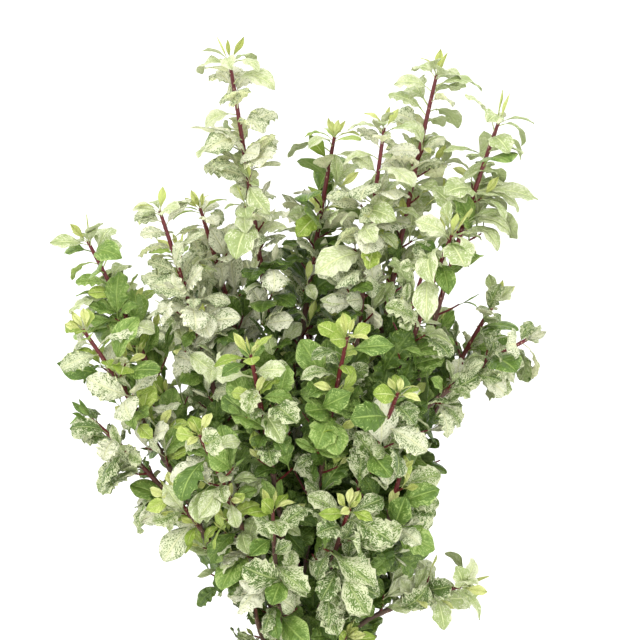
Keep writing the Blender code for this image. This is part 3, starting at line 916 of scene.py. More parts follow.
def line_mesh(name, lines):
    """A mesh of open lines. Each point holds the limb's radius there and how young it is."""
    points = [point for line in lines for point in line]
    edges, first = [], 0
    for line in lines:
        edges += [(first + step, first + step + 1) for step in range(len(line) - 1)]
        first += len(line)
    mesh = bpy.data.meshes.new(name)
    mesh.from_pydata([point.place for point in points], edges, [])
    for key in ("radius", "young"):
        stored = mesh.attributes.new(key, "FLOAT", "POINT")
        stored.data.foreach_set("value", [getattr(point, key) for point in points])
    return mesh


def bough_line(name):
    limb = boughs[name]
    long = limb.length()
    count = round(long / BOUGH_LINE_STEP)
    line = [LimbPoint(forks[name], limb.radii[0] * ROOT_SHARE, 0.0)]
    for step in range(count + 1):
        share = step / count
        collar = 1 + COLLAR_SWELL * math.exp(-share * long / COLLAR_LENGTH)
        young = YOUNG_AT_BOUGH_TIP * share ** RIPENING
        line.append(LimbPoint(limb.at(share), limb.radius(share) * collar, young))
    return line


def skin_recipe():
    recipe = Recipe("limb_skin", Sides="Int", Relief="Float", Grain="Float", Finish="Material")
    curve = recipe.node("GeometryNodeMeshToCurve", {}, {0: recipe.given("Geometry")})
    sockets = {"Resolution": recipe.given("Sides"), "Radius": 1.0}
    loop = recipe.node("GeometryNodeCurvePrimitiveCircle", {}, sockets)
    sockets = {"Curve": curve, "Profile Curve": loop, "Scale": recipe.stored("radius"), "Fill Caps": True}
    skin = recipe.node("GeometryNodeCurveToMesh", {}, sockets)
    lumps = recipe.node("ShaderNodeTexNoise", {}, {"Scale": recipe.given("Grain"), "Detail": 3.0})
    normal = recipe.node("GeometryNodeInputNormal", {}, {})
    height = (lumps - 0.5) * recipe.given("Relief")
    push = recipe.node("ShaderNodeVectorMath", {"operation": "SCALE"}, {0: normal, "Scale": height})
    pushed = recipe.node("GeometryNodeSetPosition", {}, {"Geometry": skin, "Offset": push})
    recipe.finish_with(pushed, Finish=None)
    return recipe


skin = skin_recipe()
wood = skin.bake(
    "bough_bark",
    line_mesh("bough_lines", [bough_line(name) for name in boughs]),
    Sides=12,
    Relief=0.0009,
    Grain=420.0,
    Finish=bark,
)
settle(wood, "bark", *(f"bough_{name}" for name in boughs))

# %% [markdown]
# ## Room for every mass
#
# Each mass of foliage keeps to the points that are nearest its own stem, once the reach of its
# leaves is taken off. The source uses this rule so that no two masses touch, and the fine leaves
# keep to it too, so that they fill the same shape. A leaf is also kept clear of the wood of all
# other shoots. Testing real geometry would be slow, so a leaf is tested as a thin sheet of six
# triangles, a limb as a six-sided tube, and a stem's space from three straight lengths of it.

# %% Room for every mass
CELL_MARGIN = 0.9 * MM
WALL_MARGIN = 0.6 * MM
LOWEST_LEAF = POT_TOP + 0.006
STRAIGHT = LIMB_STEPS // 3

def tube_tree(limb, sides=6):
    """A limb as a rough tube that other shapes can be tested against."""
    rings = []
    for step, point in enumerate(limb.points):
        heading = limb.heading(step / LIMB_STEPS)
        across = heading.orthogonal().normalized()
        radius = limb.radius(step / LIMB_STEPS) + WALL_MARGIN
        turns = [Quaternion(heading, 2 * math.pi * side / sides) for side in range(sides)]
        rings += [point + turn @ across * radius for turn in turns]
    faces = []
    for step in range(LIMB_STEPS):
        for side in range(sides):
            a, b = step * sides + side, step * sides + (side + 1) % sides
            faces.append((a, b, b + sides, a + sides))
    return BVHTree.FromPolygons(rings, faces)


class Room:
    """Whose space a point lies in."""

    def __init__(self):
        self.walls = {("bough", name): tube_tree(limb) for name, limb in boughs.items()}
        self.walls.update({("stem", name): tube_tree(limb) for name, limb in stems.items()})
        lengths = [
            (start, end - start, name, SHOOTS[name][4] * MM)
            for name, stem in stems.items()
            for start, end in zip(stem.points[::STRAIGHT], stem.points[STRAIGHT::STRAIGHT])
        ]
        self.starts, self.runs, self.owners, self.reaches = map(np.array, zip(*lengths))

    def margin(self, name, points):
        """How far inside the mass's own space the outermost of the points lies."""
        away = np.array(points)[:, None, :] - self.starts
        share = ((away * self.runs).sum(2) / (self.runs * self.runs).sum(1)).clip(0, 1)
        gaps = np.linalg.norm(away - share[:, :, None] * self.runs, axis=2) - self.reaches
        own = self.owners == name
        return ((gaps[:, ~own].min(axis=1) - gaps[:, own].min(axis=1)) / 2).min()

    def free(self, name, points, tree, anywhere=False):
        """Whether a shape keeps to its mass's space, or anywhere above the pot, and off the wood."""
        if min(point.z for point in points) < LOWEST_LEAF:
            return False
        if not anywhere and self.margin(name, points) < CELL_MARGIN:
            return False
        return not any(wall.overlap(tree) for key, wall in self.walls.items() if key[1] != name)


room = Room()

# %% [markdown]
# ## Which leaves grow where
#
# The plant carries several sorts of leaf at once. Most are cream with fine green flecks, older
# ones are green with cream streaks, and the youngest, at the tips, are plain yellow-green. Each
# shoot in the photograph has its own mix, so the mix is listed by shoot and dealt out twig by
# twig, with the mix of its tip after the ">". A sort that is named twice is twice as likely. Some
# shoots, most of all the ones at the top right, have longer leaves, so the sizes are listed too.
#
# Deep in the crown, where little light comes, the leaves are dark and plain, and a measure of
# depth picks those out. Their dark paint is partly the old inner leaves' own green and partly
# painted shade, for the shade that falls inside the crown. At its edge the photograph shows sky
# between the shoots. These openings are listed by place and radius, and no leaf or twig ends in one.

# %% The mix on each shoot
MIXES = {
    "left_spire": "cream cream cream pale > pale",
    "crown_left": "cream cream cream cream > lime",
    "crown_top": "cream pale green pale > pale lime",
    "left_shoulder": "cream cream cream cream > lime pale",
    "left_fan": "lime green green pale > lime pale",
    "left_edge": "cream green lime cream > lime",
    "left_low": "mottled green cream mottled > lime green",
    "left_skirt": "pale mottled lime cream > lime",
    "left_foot": "mottled green mottled green > lime mottled",
    "front_left": "pale mottled cream green > lime",
    "front_middle": "mottled mottled cream green > lime mottled",
    "centre_front": "green lime green mottled > green lime",
    "front_crown": "green pale green mottled > lime green",
    "centre_right": "mottled cream green mottled > green lime",
    "front_low": "mottled mottled green mottled > lime",
    # The shade sort here is painted shade, for the dark foot of the crown.
    "front_foot": "mottled green green shade > green lime",
    "right_spire": "pale pale pale pale cream > pale",
    "middle_spire": "cream pale pale cream > lime pale",
    "right_shoulder": "pale pale pale pale green > pale",
    "right_crown": "pale green mottled green > pale",
    "right_arm": "mottled green mottled cream > cream",
    "right_wing": "cream green mottled mottled > pale",
    "right_skirt": "cream mottled green green > lime",
    "right_low": "mottled pale mottled green > pale",
    "back_left": "cream pale mottled cream > lime",
    "back_crown": "cream mottled pale cream > lime",
    "back_right": "pale mottled cream green > lime",
    "back_low_left": "mottled cream green mottled > lime",
    "back_low_right": "mottled green cream pale > lime",
    "back_foot": "mottled green cream > green",
    # The shade sort in the heart is painted shade, for the dark middle of the crown.
    "heart": "green shade green shade > green",
}

LEAF_SIZES = {
    "left_spire": 1.10,
    "left_fan": 1.10,
    "right_spire": 1.16,
    "right_shoulder": 1.24,
    "right_crown": 1.15,
    "front_low": 1.10,
    "crown_top": 1.10,
    "left_edge": 1.05,
    "right_low": 1.15,
}
SORT_SIZES = {"lime": 0.78, "cream": 0.92}

# The depth sets where the dark sort, partly painted shade, grows. The middle sits low, so that more of the
# lower crown is painted dark.
CROWN_MIDDLE = Vector((0.01, 0.0, 0.45))
CROWN_HALVES = (0.21, 0.17, 0.30)
# Where the photograph shows sky at the crown's edge: right, up and radius, in millimetres.
OPENINGS = [
    (180, 430, 19), (140, 410, 15), (111, 396, 14), (146, 374, 11), (188, 384, 10),
    (223, 352, 12), (160, 296, 18), (142, 264, 18), (135, 234, 14), (98, 96, 22),
    (127, 165, 11), (130, 110, 12), (-98, 145, 18), (-132, 187, 15), (-58, 113, 14),
    (-150, 226, 12), (-102, 166, 12), (-76, 118, 10), (154, 308, 12), (-92, 586, 12),
    (-26, 582, 14), (-27, 497, 9), (2, 498, 10), (200, 512, 8), (174, 446, 14), (-172, 222, 7),
]

def sort_of(name, young, *keys):
    """The sort of leaf for one twig of a shoot, or for its tip."""
    choices = MIXES[name].split(" > ")[young].split()
    return choices[int(chance(*keys) * len(choices))]


def in_opening(spot):
    """Whether the photograph shows sky at a point."""
    right, up = spot.x / MM, (spot.z - COMPOST_TOP) / MM
    return any(math.hypot(right - x, up - z) < radius for x, z, radius in OPENINGS)


def depth_in_crown(spot):
    """From 0 at the crown's surface to 1 in its middle."""
    away = [a / half for a, half in zip(spot - CROWN_MIDDLE, CROWN_HALVES)]
    return 1 - Vector(away).length


# %% [markdown]
# ## Sheets that stand for leaves
#
# To find out whether a leaf fits, a thin sheet of six triangles stands for it, with six corners
# and a middle. Blades may not cross, so each one is tested against the blades that grow near it.

# %% Sheets that stand for leaves
LEAF_LENGTH = 0.050
LEAF_WIDTH_SHARE = 0.38
LEAF_DROOP = 0.30
NEARBY = 1.8 * LEAF_LENGTH
SHEET_FACES = [((corner + 1) % 6, corner, 6) for corner in range(6)]
BLADE_FACES = [face for face in SHEET_FACES if 0 not in face]

def leaf_sheet(base, along, normal, length):
    """A leaf as six corners and a middle, to test whether it fits."""
    across = along.cross(normal)
    outline = [(0, 0), (0.34, 0.82), (0.74, 0.94), (1, 0), (0.74, -0.94), (0.34, -0.82)]
    half = length * LEAF_WIDTH_SHARE / 2
    points = []
    for far, wide in outline:
        sink = normal * LEAF_DROOP * far * far * length
        points.append(base + along * far * length + across * wide * half - sink)
    return points + [base + along * length * 0.52]


def spread_over(points):
    """Points spread closely over a leaf, edge to edge."""
    base, right, far_right, tip, far_left, left = points[:6]
    found = list(points)
    for share in (0.25, 0.5, 0.75):
        found += [right.lerp(left, share), far_right.lerp(far_left, share)]
    for a, b in ((base, right), (base, left), (tip, far_right), (tip, far_left)):
        found.append(a.lerp(b, 0.5))
    return found


grown = []

def leaves_near(spot):
    """The blades of all leaves, of any mass, that grow near a point."""
    return [blade for base, blade in grown if (base - spot).length < NEARBY]


# %% [markdown]
# ## Growing a leaf
#
# A leaf turns its face outward and to the light. The shoots on the right spread their leaves
# flat towards the top, which the ones on the left don't. A leaf that would cross another, leave
# the room or touch a limb is turned and made smaller a few times, and then left out. A leaf deep
# in the crown is of the dark sort, whose paint is partly painted shade, and the newest ones of a
# bright whorl are of the tip's sort.
#
# Every draw is named by keys: the mass, the twig, the leaf, and a number that only keeps this
# draw apart from the others. So a change to one rule leaves the draws of all others as they are.

# %% Growing a leaf
GOLDEN_ANGLE = math.radians(137.508)
LIGHT = Vector((0, -0.75, 0.45))
CROWN_CENTRE = Vector((0, 0, 0.40))
FACE_OUT = 0.6
FACE_AXIS = 0.4
RESTLESS = 1.6
FLAT_FROM = 0.50
FLAT_OVER = 0.28
FLATNESS = 0.7
SHADE_DEPTH = 0.54
DEPTH_INSIDE = 0.4
DEPTH_SPREAD = 0.4
NEVER_DARK_FROM = 0.5
LEAF_ANGLE = math.radians(58)
LEAF_ROLL = math.radians(90)
LEAF_TRIES = 7
# What a leaf does at each further try: it swings round, leans in and shrinks by so much.
SWING_STEP = 0.9
LEAN_STEP = 0.09
SHRINK_STEP = 0.06
FRESH_FROM = {"lime": 0.4, "pale": 0.7}
WHORL_SIZES = (0.9, 0.2)
# Pairs for graded(), from a whorl's outermost leaf to its innermost. The depths, in millimetres
# below the tip, run the other way.
WHORL_ANGLES = (0.95, -0.55)
WHORL_TAPER = (1, -0.52)
WHORL_DEPTHS = (0.4, 5)
Leaf = namedtuple("Leaf", "base along normal length sort young")

def graded(start, change, share):
    """A value that changes evenly along something, at this share of the way."""
    return start + change * share


class Foliage:
    """A stem with its wood, and a way to bear leaves."""

    def __init__(self, name, number):
        self.name, self.number = name, number
        self.stem, self.reach = stems[name], SHOOTS[name][4] * MM
        self.wood = [tube_tree(limb) for limb in (self.stem, boughs.get(name)) if limb]
        self.leaves, self.inside = [], False

    def facing(self, keys, base, axis):
        """Where a leaf turns its face: out and to the light, near the top flatly up, and astray."""
        flat = 0.0 if base.x < 0 else max(0.0, min(1.0, (base.z - FLAT_FROM) / FLAT_OVER))
        outward = (base - CROWN_CENTRE).normalized() * FACE_OUT + LIGHT
        astray = Vector([chance(*keys, axis_key) - 0.5 for axis_key in (1.7, 2.9, 4.3)])
        return axis * FACE_AXIS + outward * (1 - FLATNESS * flat) + UP * flat + astray * RESTLESS

    def add_leaf(self, keys, base, axis, side, angle, share, sort, young=0.0):
        """Adds a leaf where one fits, and says whether it did."""
        facing = self.facing(keys, base, axis)
        # Deep leaves take the dark sort, whose paint is partly painted shade. Leaves on spurs count as
        # deeper.
        depth = depth_in_crown(base) + DEPTH_INSIDE * self.inside
        depth += DEPTH_SPREAD * (chance(*keys, 5.1) - 0.5)
        shade = young < NEVER_DARK_FROM and depth > SHADE_DEPTH
        kind = "shade" if shade else "tip" if young > FRESH_FROM.get(sort, 1) else sort
        own_size = LEAF_SIZES.get(self.name, 1) * SORT_SIZES.get(sort, 1)
        near = self.wood + leaves_near(base)
        for attempt in range(LEAF_TRIES):
            swing = Quaternion(axis, (chance(*keys, attempt) - 0.5) * attempt * SWING_STEP)
            along = turned(axis, swing @ side, angle * (1 - LEAN_STEP * attempt))
            normal = (facing - along * facing.dot(along)).normalized()
            roll = Quaternion(along, (chance(*keys, attempt + 0.5) - 0.5) * LEAF_ROLL)
            normal = (roll @ normal).normalized()
            length = LEAF_LENGTH * share * own_size * (1 - SHRINK_STEP * attempt)
            sheet = leaf_sheet(base, along, normal, length)
            blade = BVHTree.FromPolygons(sheet, BLADE_FACES)
            if any(map(in_opening, sheet[1:])) or any(tree.overlap(blade) for tree in near):
                continue
            tree = BVHTree.FromPolygons(sheet, SHEET_FACES)
            if room.free(self.name, spread_over(sheet), tree, self.inside):
                self.leaves.append(Leaf(base, along, normal, length, kind, young))
                grown.append((base, blade))
                return True
        return False

    def add_whorl(self, keys, tip, axis, count, share, sort):
        """Leaves that crowd round a tip, the innermost the youngest and most upright."""
        fitted = 0
        for index in range(count):
            turn = Quaternion(axis, index * GOLDEN_ANGLE + WHOLE_TURN * chance(self.number, *keys))
            side = turn @ axis.orthogonal().normalized()
            inner = 1 - index / (count - 1)
            own_keys = (self.number, index, *keys)
            angle = LEAF_ANGLE * graded(*WHORL_ANGLES, inner)
            size = share * graded(*WHORL_TAPER, inner) * varied(*WHORL_SIZES, *own_keys)
            base = tip - axis * graded(*WHORL_DEPTHS, 1 - inner) * MM
            fitted += self.add_leaf(own_keys, base, axis, side, angle, size, sort, inner)
        return fitted


# %% [markdown]
# ## Growing a twig
#
# A twig bends up a little, bears leaves down its sides and ends in a whorl of small ones. It
# grows only where its mass has room for it and where the photograph shows no sky at its tip, and
# it is taken back if not one leaf fits on it.

# %% Growing a twig
TWIG_RADIUS = 0.0011
TWIG_TIP_RADIUS = 0.0007
TWIG_RISE = 0.12
TWIG_BEND = 0.55
# A twig's first points lie beside its stem's own wood, so they aren't tested.
TWIG_FREE_FROM = 3
TWIG_WHORL = 4
TWIG_WHORL_SIZE = 0.95
TWIG_LINE_STEPS = 5
YOUNG_AT_TWIG_FOOT = 0.75
# The share of twigs whose whorl is of the shoot's newest sort.
NEW_TWIGS = 0.24
LEAF_GAP = 0.0062
LEAF_TURN = 0.85
TWIG_LEAF_SIZES = (0.66, 0.46)
TWIG_LEAF_ANGLES = (0.85, 0.5)

def twig_line(twig):
    """The twig's points, each with its radius and how young it is."""
    shares = [step / TWIG_LINE_STEPS for step in range(TWIG_LINE_STEPS + 1)]
    climb = 1 - YOUNG_AT_TWIG_FOOT
    return [LimbPoint(twig.at(s), twig.radius(s), YOUNG_AT_TWIG_FOOT + climb * s) for s in shares]


class Twiggy(Foliage):
    """Foliage that bears twigs as well, and keeps their lines."""

    def __init__(self, name, number):
        super().__init__(name, number)
        self.lines = []

    def add_twig(self, index, base, heading, long):
        """A twig with a whorl at its tip and leaves down its sides, left out if none fit."""
        tip = base + heading * long + UP * long * TWIG_RISE
        twig = Limb([base, base + heading * long * TWIG_BEND, tip], (TWIG_RADIUS, TWIG_TIP_RADIUS))
        tree, tested = tube_tree(twig), twig.points[TWIG_FREE_FROM:]
        if in_opening(tip) or not room.free(self.name, tested, tree, self.inside):
            return
        self.wood.append(tree)
        old = sort_of(self.name, 0, self.number, index)
        new = sort_of(self.name, chance(self.number, index, 6) < NEW_TWIGS, self.number, index, 2)
        axis = twig.heading(1)
        fitted = self.add_whorl((index,), tip, axis, TWIG_WHORL, TWIG_WHORL_SIZE, new)
        for spot in range(1, 1 + int(long / LEAF_GAP)):
            share = 1 - spot * LEAF_GAP / long
            side = Quaternion(axis, spot * math.pi * LEAF_TURN + index) @ axis.orthogonal().normalized()
            size = varied(*TWIG_LEAF_SIZES, self.number, index, spot)
            angle = LEAF_ANGLE * varied(*TWIG_LEAF_ANGLES, self.number, index, spot, 9)
            base, keys = twig.at(max(share, 0)), (self.number, index, spot, 5)
            fitted += self.add_leaf(keys, base, twig.heading(share), side, angle, size, old)
        if fitted:
            self.lines.append(twig_line(twig))
        else:
            self.wood.pop()


# %% [markdown]
# ## Growing a mass
#
# The rule is the source's. Twigs leave the stem in a spiral of the golden angle, and the stem
# ends in a rosette. Here the steps are shorter and the leaves real-size, so that every twig of
# the source becomes several, with the small, bright leaves of new growth at their tips. Two more
# leaves stand beside each twig's foot, above the last twig the stem bears single leaves, and
# short spurs on the boughs fill the crown's inside. Red stems show between the leaves in the
# photograph, so they are drawn a little plumper here than in the source.

# %% Growing a mass
TWIG_STEP = 0.0078
TWIG_ANGLE = math.radians(54)
FEWEST_TWIGS = 4
BARE_FOOT_STEM = 0.36
BARE_STEM = 0.04
BRANCHED = 0.72
LEAFY = 0.97
HANGING_LOSS = 0.45
TIP_LEAF_ROOM = 0.55
# Where the two leaves beside a twig stand, in half turns round the stem from the twig.
BESIDE_TWIG = (0.9, -0.5)
STEM_LEAF_STEP = 0.0054
ROSETTE_LEAVES = 8
ROSETTE_SIZE = 0.80
SPURS_FROM = 0.34
SPUR_STEP = 0.012
SPUR_LENGTH = 0.022
STEM_LINE_STEP = 0.0025
STEM_PLUMPNESS = 0.28
PLUMPNESS_RISE = 8
KNOT_SWELL = 0.22
KNOT_LENGTH = 0.0016
YOUNG_AT_ROOT = 0.1
YOUNG_AT_STEM_FOOT = 0.25
YOUNGER_UP_STEM = 0.45
NEW_LEAVES_FROM = 0.55
TWIG_LENGTHS = (0.55, 0.6)
STEM_LEAF_SIZES = (0.72, 0.50)
STEM_LEAF_ANGLES = (0.8, 0.4)
SPUR_LENGTHS = (0.6, 0.8)
# Pairs for graded(), up the stem.
TWIG_TAPER = (1.15, -0.45)
STEM_LEAF_TAPER = (1.05, -0.25)
STEM_LEAF_OPENING = (1.45, -0.6)

class Mass(Twiggy):
    """One mass of foliage: its stem, twigs in a spiral, and their leaves."""

    def __init__(self, name, number):
        super().__init__(name, number)
        self.knots = []
        self.add_twigs()
        self.add_stem_leaves()
        newest = sort_of(name, 1, number, 7)
        self.add_whorl((90,), self.stem.at(1), self.stem.heading(1), ROSETTE_LEAVES, ROSETTE_SIZE, newest)
        self.lines.append(self.stem_line())

    def springing(self, index, share, phase):
        """A point on the stem, its heading there, and the way out for this turn of the spiral."""
        base, axis = self.stem.at(share), self.stem.heading(share)
        turn = Quaternion(axis, index * GOLDEN_ANGLE + WHOLE_TURN * chance(self.number, phase))
        return base, axis, turn @ axis.orthogonal().normalized()

    def add_twigs(self):
        """Twigs on the stem's lower part, shorter where they hang, each with two leaves beside it."""
        first = BARE_FOOT_STEM if SHOOTS[self.name][2] is None else BARE_STEM
        count = max(FEWEST_TWIGS, round(self.stem.length() * (BRANCHED - first) / TWIG_STEP))
        for index in range(count):
            share = first + (BRANCHED - first) * (index + 0.5) / count
            base, axis, side = self.springing(index, share, 3)
            room_left = (self.reach - LEAF_LENGTH * TIP_LEAF_ROOM) * graded(*TWIG_TAPER, share)
            long = room_left * varied(*TWIG_LENGTHS, self.number, index)
            long *= 1 + HANGING_LOSS * min(0, side.z)
            self.knots.append(share)
            self.add_twig(index, base, turned(axis, side, TWIG_ANGLE), long)
            for number, turn in enumerate(BESIDE_TWIG):
                beside = Quaternion(axis, math.pi * turn) @ side
                self.add_stem_leaf(index + 120 * number, base - axis * 2 * MM, axis, beside, 0.0)

    def add_stem_leaves(self):
        """Single leaves on the upper part, the highest the youngest and most upright."""
        count = round(self.stem.length() * (1 - BRANCHED) / STEM_LEAF_STEP)
        for index in range(count):
            share = BRANCHED + (LEAFY - BRANCHED) * index / count
            self.knots.append(share)
            self.add_stem_leaf(index + 60, *self.springing(index, share, 11), index / count)

    def add_stem_leaf(self, index, base, axis, side, high):
        """One leaf on the stem, smaller and more upright the higher it stands, from 0 to 1."""
        keys = (self.number, index, 8)
        size = varied(*STEM_LEAF_SIZES, *keys) * graded(*STEM_LEAF_TAPER, high)
        angle = LEAF_ANGLE * graded(*STEM_LEAF_OPENING, high) * varied(*STEM_LEAF_ANGLES, *keys, 2)
        sort = sort_of(self.name, chance(*keys, 3) < high - NEW_LEAVES_FROM, *keys, 4)
        self.add_leaf(keys, base, axis, side, angle, size, sort)

    def add_spurs(self):
        """Short twigs on the bough, inside the crown, which bear the oldest leaves, many of them of the dark
        sort that is partly painted shade.
        """
        bough, self.inside = boughs[self.name], True
        count = round(bough.length() * (LEAFY - SPURS_FROM) / SPUR_STEP)
        for index in range(count):
            share = SPURS_FROM + (LEAFY - SPURS_FROM) * (index + 0.5) / count
            axis = bough.heading(share)
            turn = Quaternion(axis, index * GOLDEN_ANGLE + WHOLE_TURN * chance(self.number, 17))
            heading = turned(axis, turn @ axis.orthogonal().normalized(), TWIG_ANGLE)
            long = SPUR_LENGTH * varied(*SPUR_LENGTHS, self.number, index, 18)
            self.add_twig(index + 200, bough.at(share), heading, long)

    def stem_line(self):
        """The stem, plump above its foot, and swollen where twigs and leaves spring from it."""
        count = round(self.stem.length() / STEM_LINE_STEP)
        line, young_from = [], YOUNG_AT_BOUGH_TIP
        if self.name not in boughs:
            line.append(LimbPoint(forks[self.name], self.stem.radii[0], YOUNG_AT_ROOT))
            young_from = YOUNG_AT_STEM_FOOT
        for step in range(count + 1):
            share = step / count
            near = min((abs(share - knot) * self.stem.length() for knot in self.knots), default=1)
            knot = KNOT_SWELL * math.exp(-(near / KNOT_LENGTH) ** 2)
            swell = 1 + knot + STEM_PLUMPNESS * min(1, share * PLUMPNESS_RISE)
            young = young_from + YOUNGER_UP_STEM * share
            line.append(LimbPoint(self.stem.at(share), self.stem.radius(share) * swell, young))
        return line


# %% All the masses
masses = [Mass(name, number) for number, name in enumerate(stems)]
for mass in masses:
    if mass.name in boughs:
        mass.add_spurs()
leaf_count = sum(len(mass.leaves) for mass in masses)
print(leaf_count, "leaves on", sum(len(mass.lines) - 1 for mass in masses), "twigs")

# %% The shoots' skin
foliage_nodes = [f"foliage_{name}" for name in stems]
shoots = skin.bake(
    "shoot_bark",
    line_mesh("shoot_lines", [line for mass in masses for line in mass.lines]),
    Sides=8,
    Relief=0.0003,
    Grain=700.0,
    Finish=bark,
)
settle(shoots, "bark", *foliage_nodes)

# %% [markdown]
# ## The shape of a leaf
#
# A pittosporum leaf is leathery, widest beyond its middle, on a short pale stalk. Its margin
# waves up and down, it folds a little along the midrib, and most leaves arch or twist. A flat
# card with a leaf painted on it would look right from one side only, so each shape here is a
# closed shell half a millimetre thick: five columns of points on top and one below, bent by a
# few numbers. Ten such shapes, turned and sized at random, look as if no two were alike.

# %% The shape of a leaf
STALK = 0.17
BLADE_ROWS = [0, 0.04, 0.09, 0.15, 0.21, 0.28, 0.35, 0.42, 0.49, 0.56, 0.63, 0.70, 0.77, 0.84, 0.91, 0.965]
THICKNESS = 0.012
STALK_THICKNESS = 0.024
STALK_HALF_WIDTH = 0.014
BEYOND_MIDDLE = 1.24
QUILT = 0.014
# How far the waves are shifted from one shape to the next, and from the left margin to the right.
SHAPE_SHIFT = 0.21
RIGHT_SHIFT = 0.37
COLUMNS = [(-1, 0), (-0.5, 1), (0, 1), (0.5, 1), (1, 0), (0, -1)]
ACROSS = [0, 0.25, 0.5, 0.75, 1, 0.5]
LeafShape = namedtuple("LeafShape", "width taper crisp waves fold bend twist curl")
LEAF_SHAPES = {
    "broad": LeafShape(0.27, 0.66, 0.012, 2.2, 0.16, 0.9, 0.10, 0.12),
    "wavy": LeafShape(0.26, 0.75, 0.034, 4.4, 0.14, 1.1, 0.25, 0.06),
    "ruffled": LeafShape(0.26, 0.66, 0.042, 5.0, 0.10, 0.8, -0.30, 0.00),
    "crisped": LeafShape(0.24, 0.70, 0.048, 5.7, 0.20, 1.2, 0.35, 0.00),
    "arched": LeafShape(0.23, 0.90, 0.032, 3.6, 0.24, 1.6, 0.25, 0.12),
    "hooked": LeafShape(0.20, 0.95, 0.022, 2.8, 0.30, 2.0, -0.30, 0.10),
    "rolled": LeafShape(0.24, 0.80, 0.038, 4.8, -0.10, 1.4, -0.60, 0.34),
    "lance": LeafShape(0.21, 1.20, 0.018, 3.2, 0.24, 0.8, 0.15, 0.05),
    "slender": LeafShape(0.17, 1.10, 0.018, 2.4, 0.34, 1.2, 0.20, 0.05),
    "young": LeafShape(0.145, 1.15, 0.010, 1.6, 0.40, -0.3, 0.10, 0.05),
}
SHAPE_NAMES = sorted(LEAF_SHAPES)

def margin_wave(phase):
    """Two waves of different lengths added, so that a margin's own waves differ."""
    return 0.75 * math.sin(2 * math.pi * phase) + 0.4 * math.sin(2 * math.pi * (phase * 0.43 + 0.3))


def leaf_row(shape, blade, number):
    """One row across a leaf of length 1: (x, y, z) from the left margin to the right, then below."""
    along = STALK + (1 - STALK) * blade if blade >= 0 else 0
    blade = max(blade, 0)
    fullness = math.sin(math.pi * blade ** BEYOND_MIDDLE) ** shape.taper
    wide = max(STALK_HALF_WIDTH, shape.width * fullness)
    thick = max(THICKNESS, STALK_THICKNESS * (1 - blade * 12)) / 2
    lean, twist = shape.bend * along, shape.twist * blade
    row = []
    for x, over in COLUMNS:
        shift = SHAPE_SHIFT * number + (RIGHT_SHIFT if x > 0 else 0)
        swing = margin_wave(shape.waves * blade + shift)
        swing *= min(1, 4 * blade)
        out = x * wide * (1 - 4 * shape.crisp * swing * (abs(x) == 1))
        quilt = QUILT * (abs(x) == 0.5) * min(1, 5 * blade)
        z = (shape.crisp * swing + shape.fold * wide) * abs(x) - shape.curl * x * x * wide
        z += quilt + over * thick
        across = out * math.cos(twist) - z * math.sin(twist)
        z = out * math.sin(twist) + z * math.cos(twist)
        y = math.sin(lean) / shape.bend + z * math.sin(lean)
        row.append(Vector((across, y, (math.cos(lean) - 1) / shape.bend + z * math.cos(lean))))
    return row


def leaf_mesh(name, number):
    """A closed leaf with its own map: across from 0 to 1, and along from the stalk to the tip."""
    shape = LEAF_SHAPES[name]
    blades = [-1, *BLADE_ROWS]
    rows = [leaf_row(shape, blade, number) for blade in blades]
    body = bmesh.new()
    rings = [[body.verts.new(point) for point in row] for row in rows]
    tip = body.verts.new((0, math.sin(shape.bend) / shape.bend, (math.cos(shape.bend) - 1) / shape.bend))
    chart, under, last = {tip: (0.5, 1)}, [], len(COLUMNS) - 1
    for blade, ring in zip(blades, rings):
        far = 0 if blade < 0 else STALK + (1 - STALK) * blade
        chart.update({vertex: (across, far) for vertex, across in zip(ring, ACROSS)})
    for ring, following in zip(rings, rings[1:]):
        for column in range(last + 1):
            after = (column + 1) % len(COLUMNS)
            body.faces.new((ring[column], ring[after], following[after], following[column]))
            under.append(column >= last - 1)
    for column in range(last + 1):
        body.faces.new((rings[-1][column], rings[-1][(column + 1) % len(COLUMNS)], tip))
        under.append(column >= last - 1)
    body.faces.new(rings[0][::-1])
    under.append(True)
    layer = body.loops.layers.uv.new("leaf")
    for face in body.faces:
        for loop in face.loops:
            loop[layer].uv = chart[loop.vert]
    for ring, following in zip(rings, rings[1:]):
        for column in (0, last - 1):
            body.edges.get((ring[column], following[column])).smooth = False
    bmesh.ops.recalc_face_normals(body, faces=body.faces)
    mesh = bpy.data.meshes.new(name)
    body.to_mesh(mesh)
    body.free()
    mesh.attributes.new("underside", "BOOLEAN", "FACE").data.foreach_set("value", under)
    return mesh


leaf_shapes = bpy.data.collections.new("leaf_shapes")
for number, name in enumerate(SHAPE_NAMES):
    leaf_shapes.objects.link(bpy.data.objects.new(name, leaf_mesh(name, number)))

# %% [markdown]
# ## The colours of a leaf
#
# A variegated leaf is two tissues, one green and one without green, that meet in flecks and in
# feathered streaks beside the side veins. The pattern is noise, squeezed along the veins and read
# through a soft threshold: how far the threshold lies decides how much of the leaf is flecked,
# and every leaf shifts it by its own seed. The pattern uses the leaf's own map, so that it
# follows the blade when the leaf bends. The midrib and the stalk are paler, and the blade swells
# a little between its side veins. The underside is paler and duller and has its own paint. The
# cream underside is painted paler still, as painted light that lifts the shade on undersides,
# and the cream top a little darker, as painted shade against the strong light on tops. The dark
# sort's paint is partly painted shade, for the shade deep in the crown. A leaf's wax reflects
# less than glass would, which the specular level allows for.

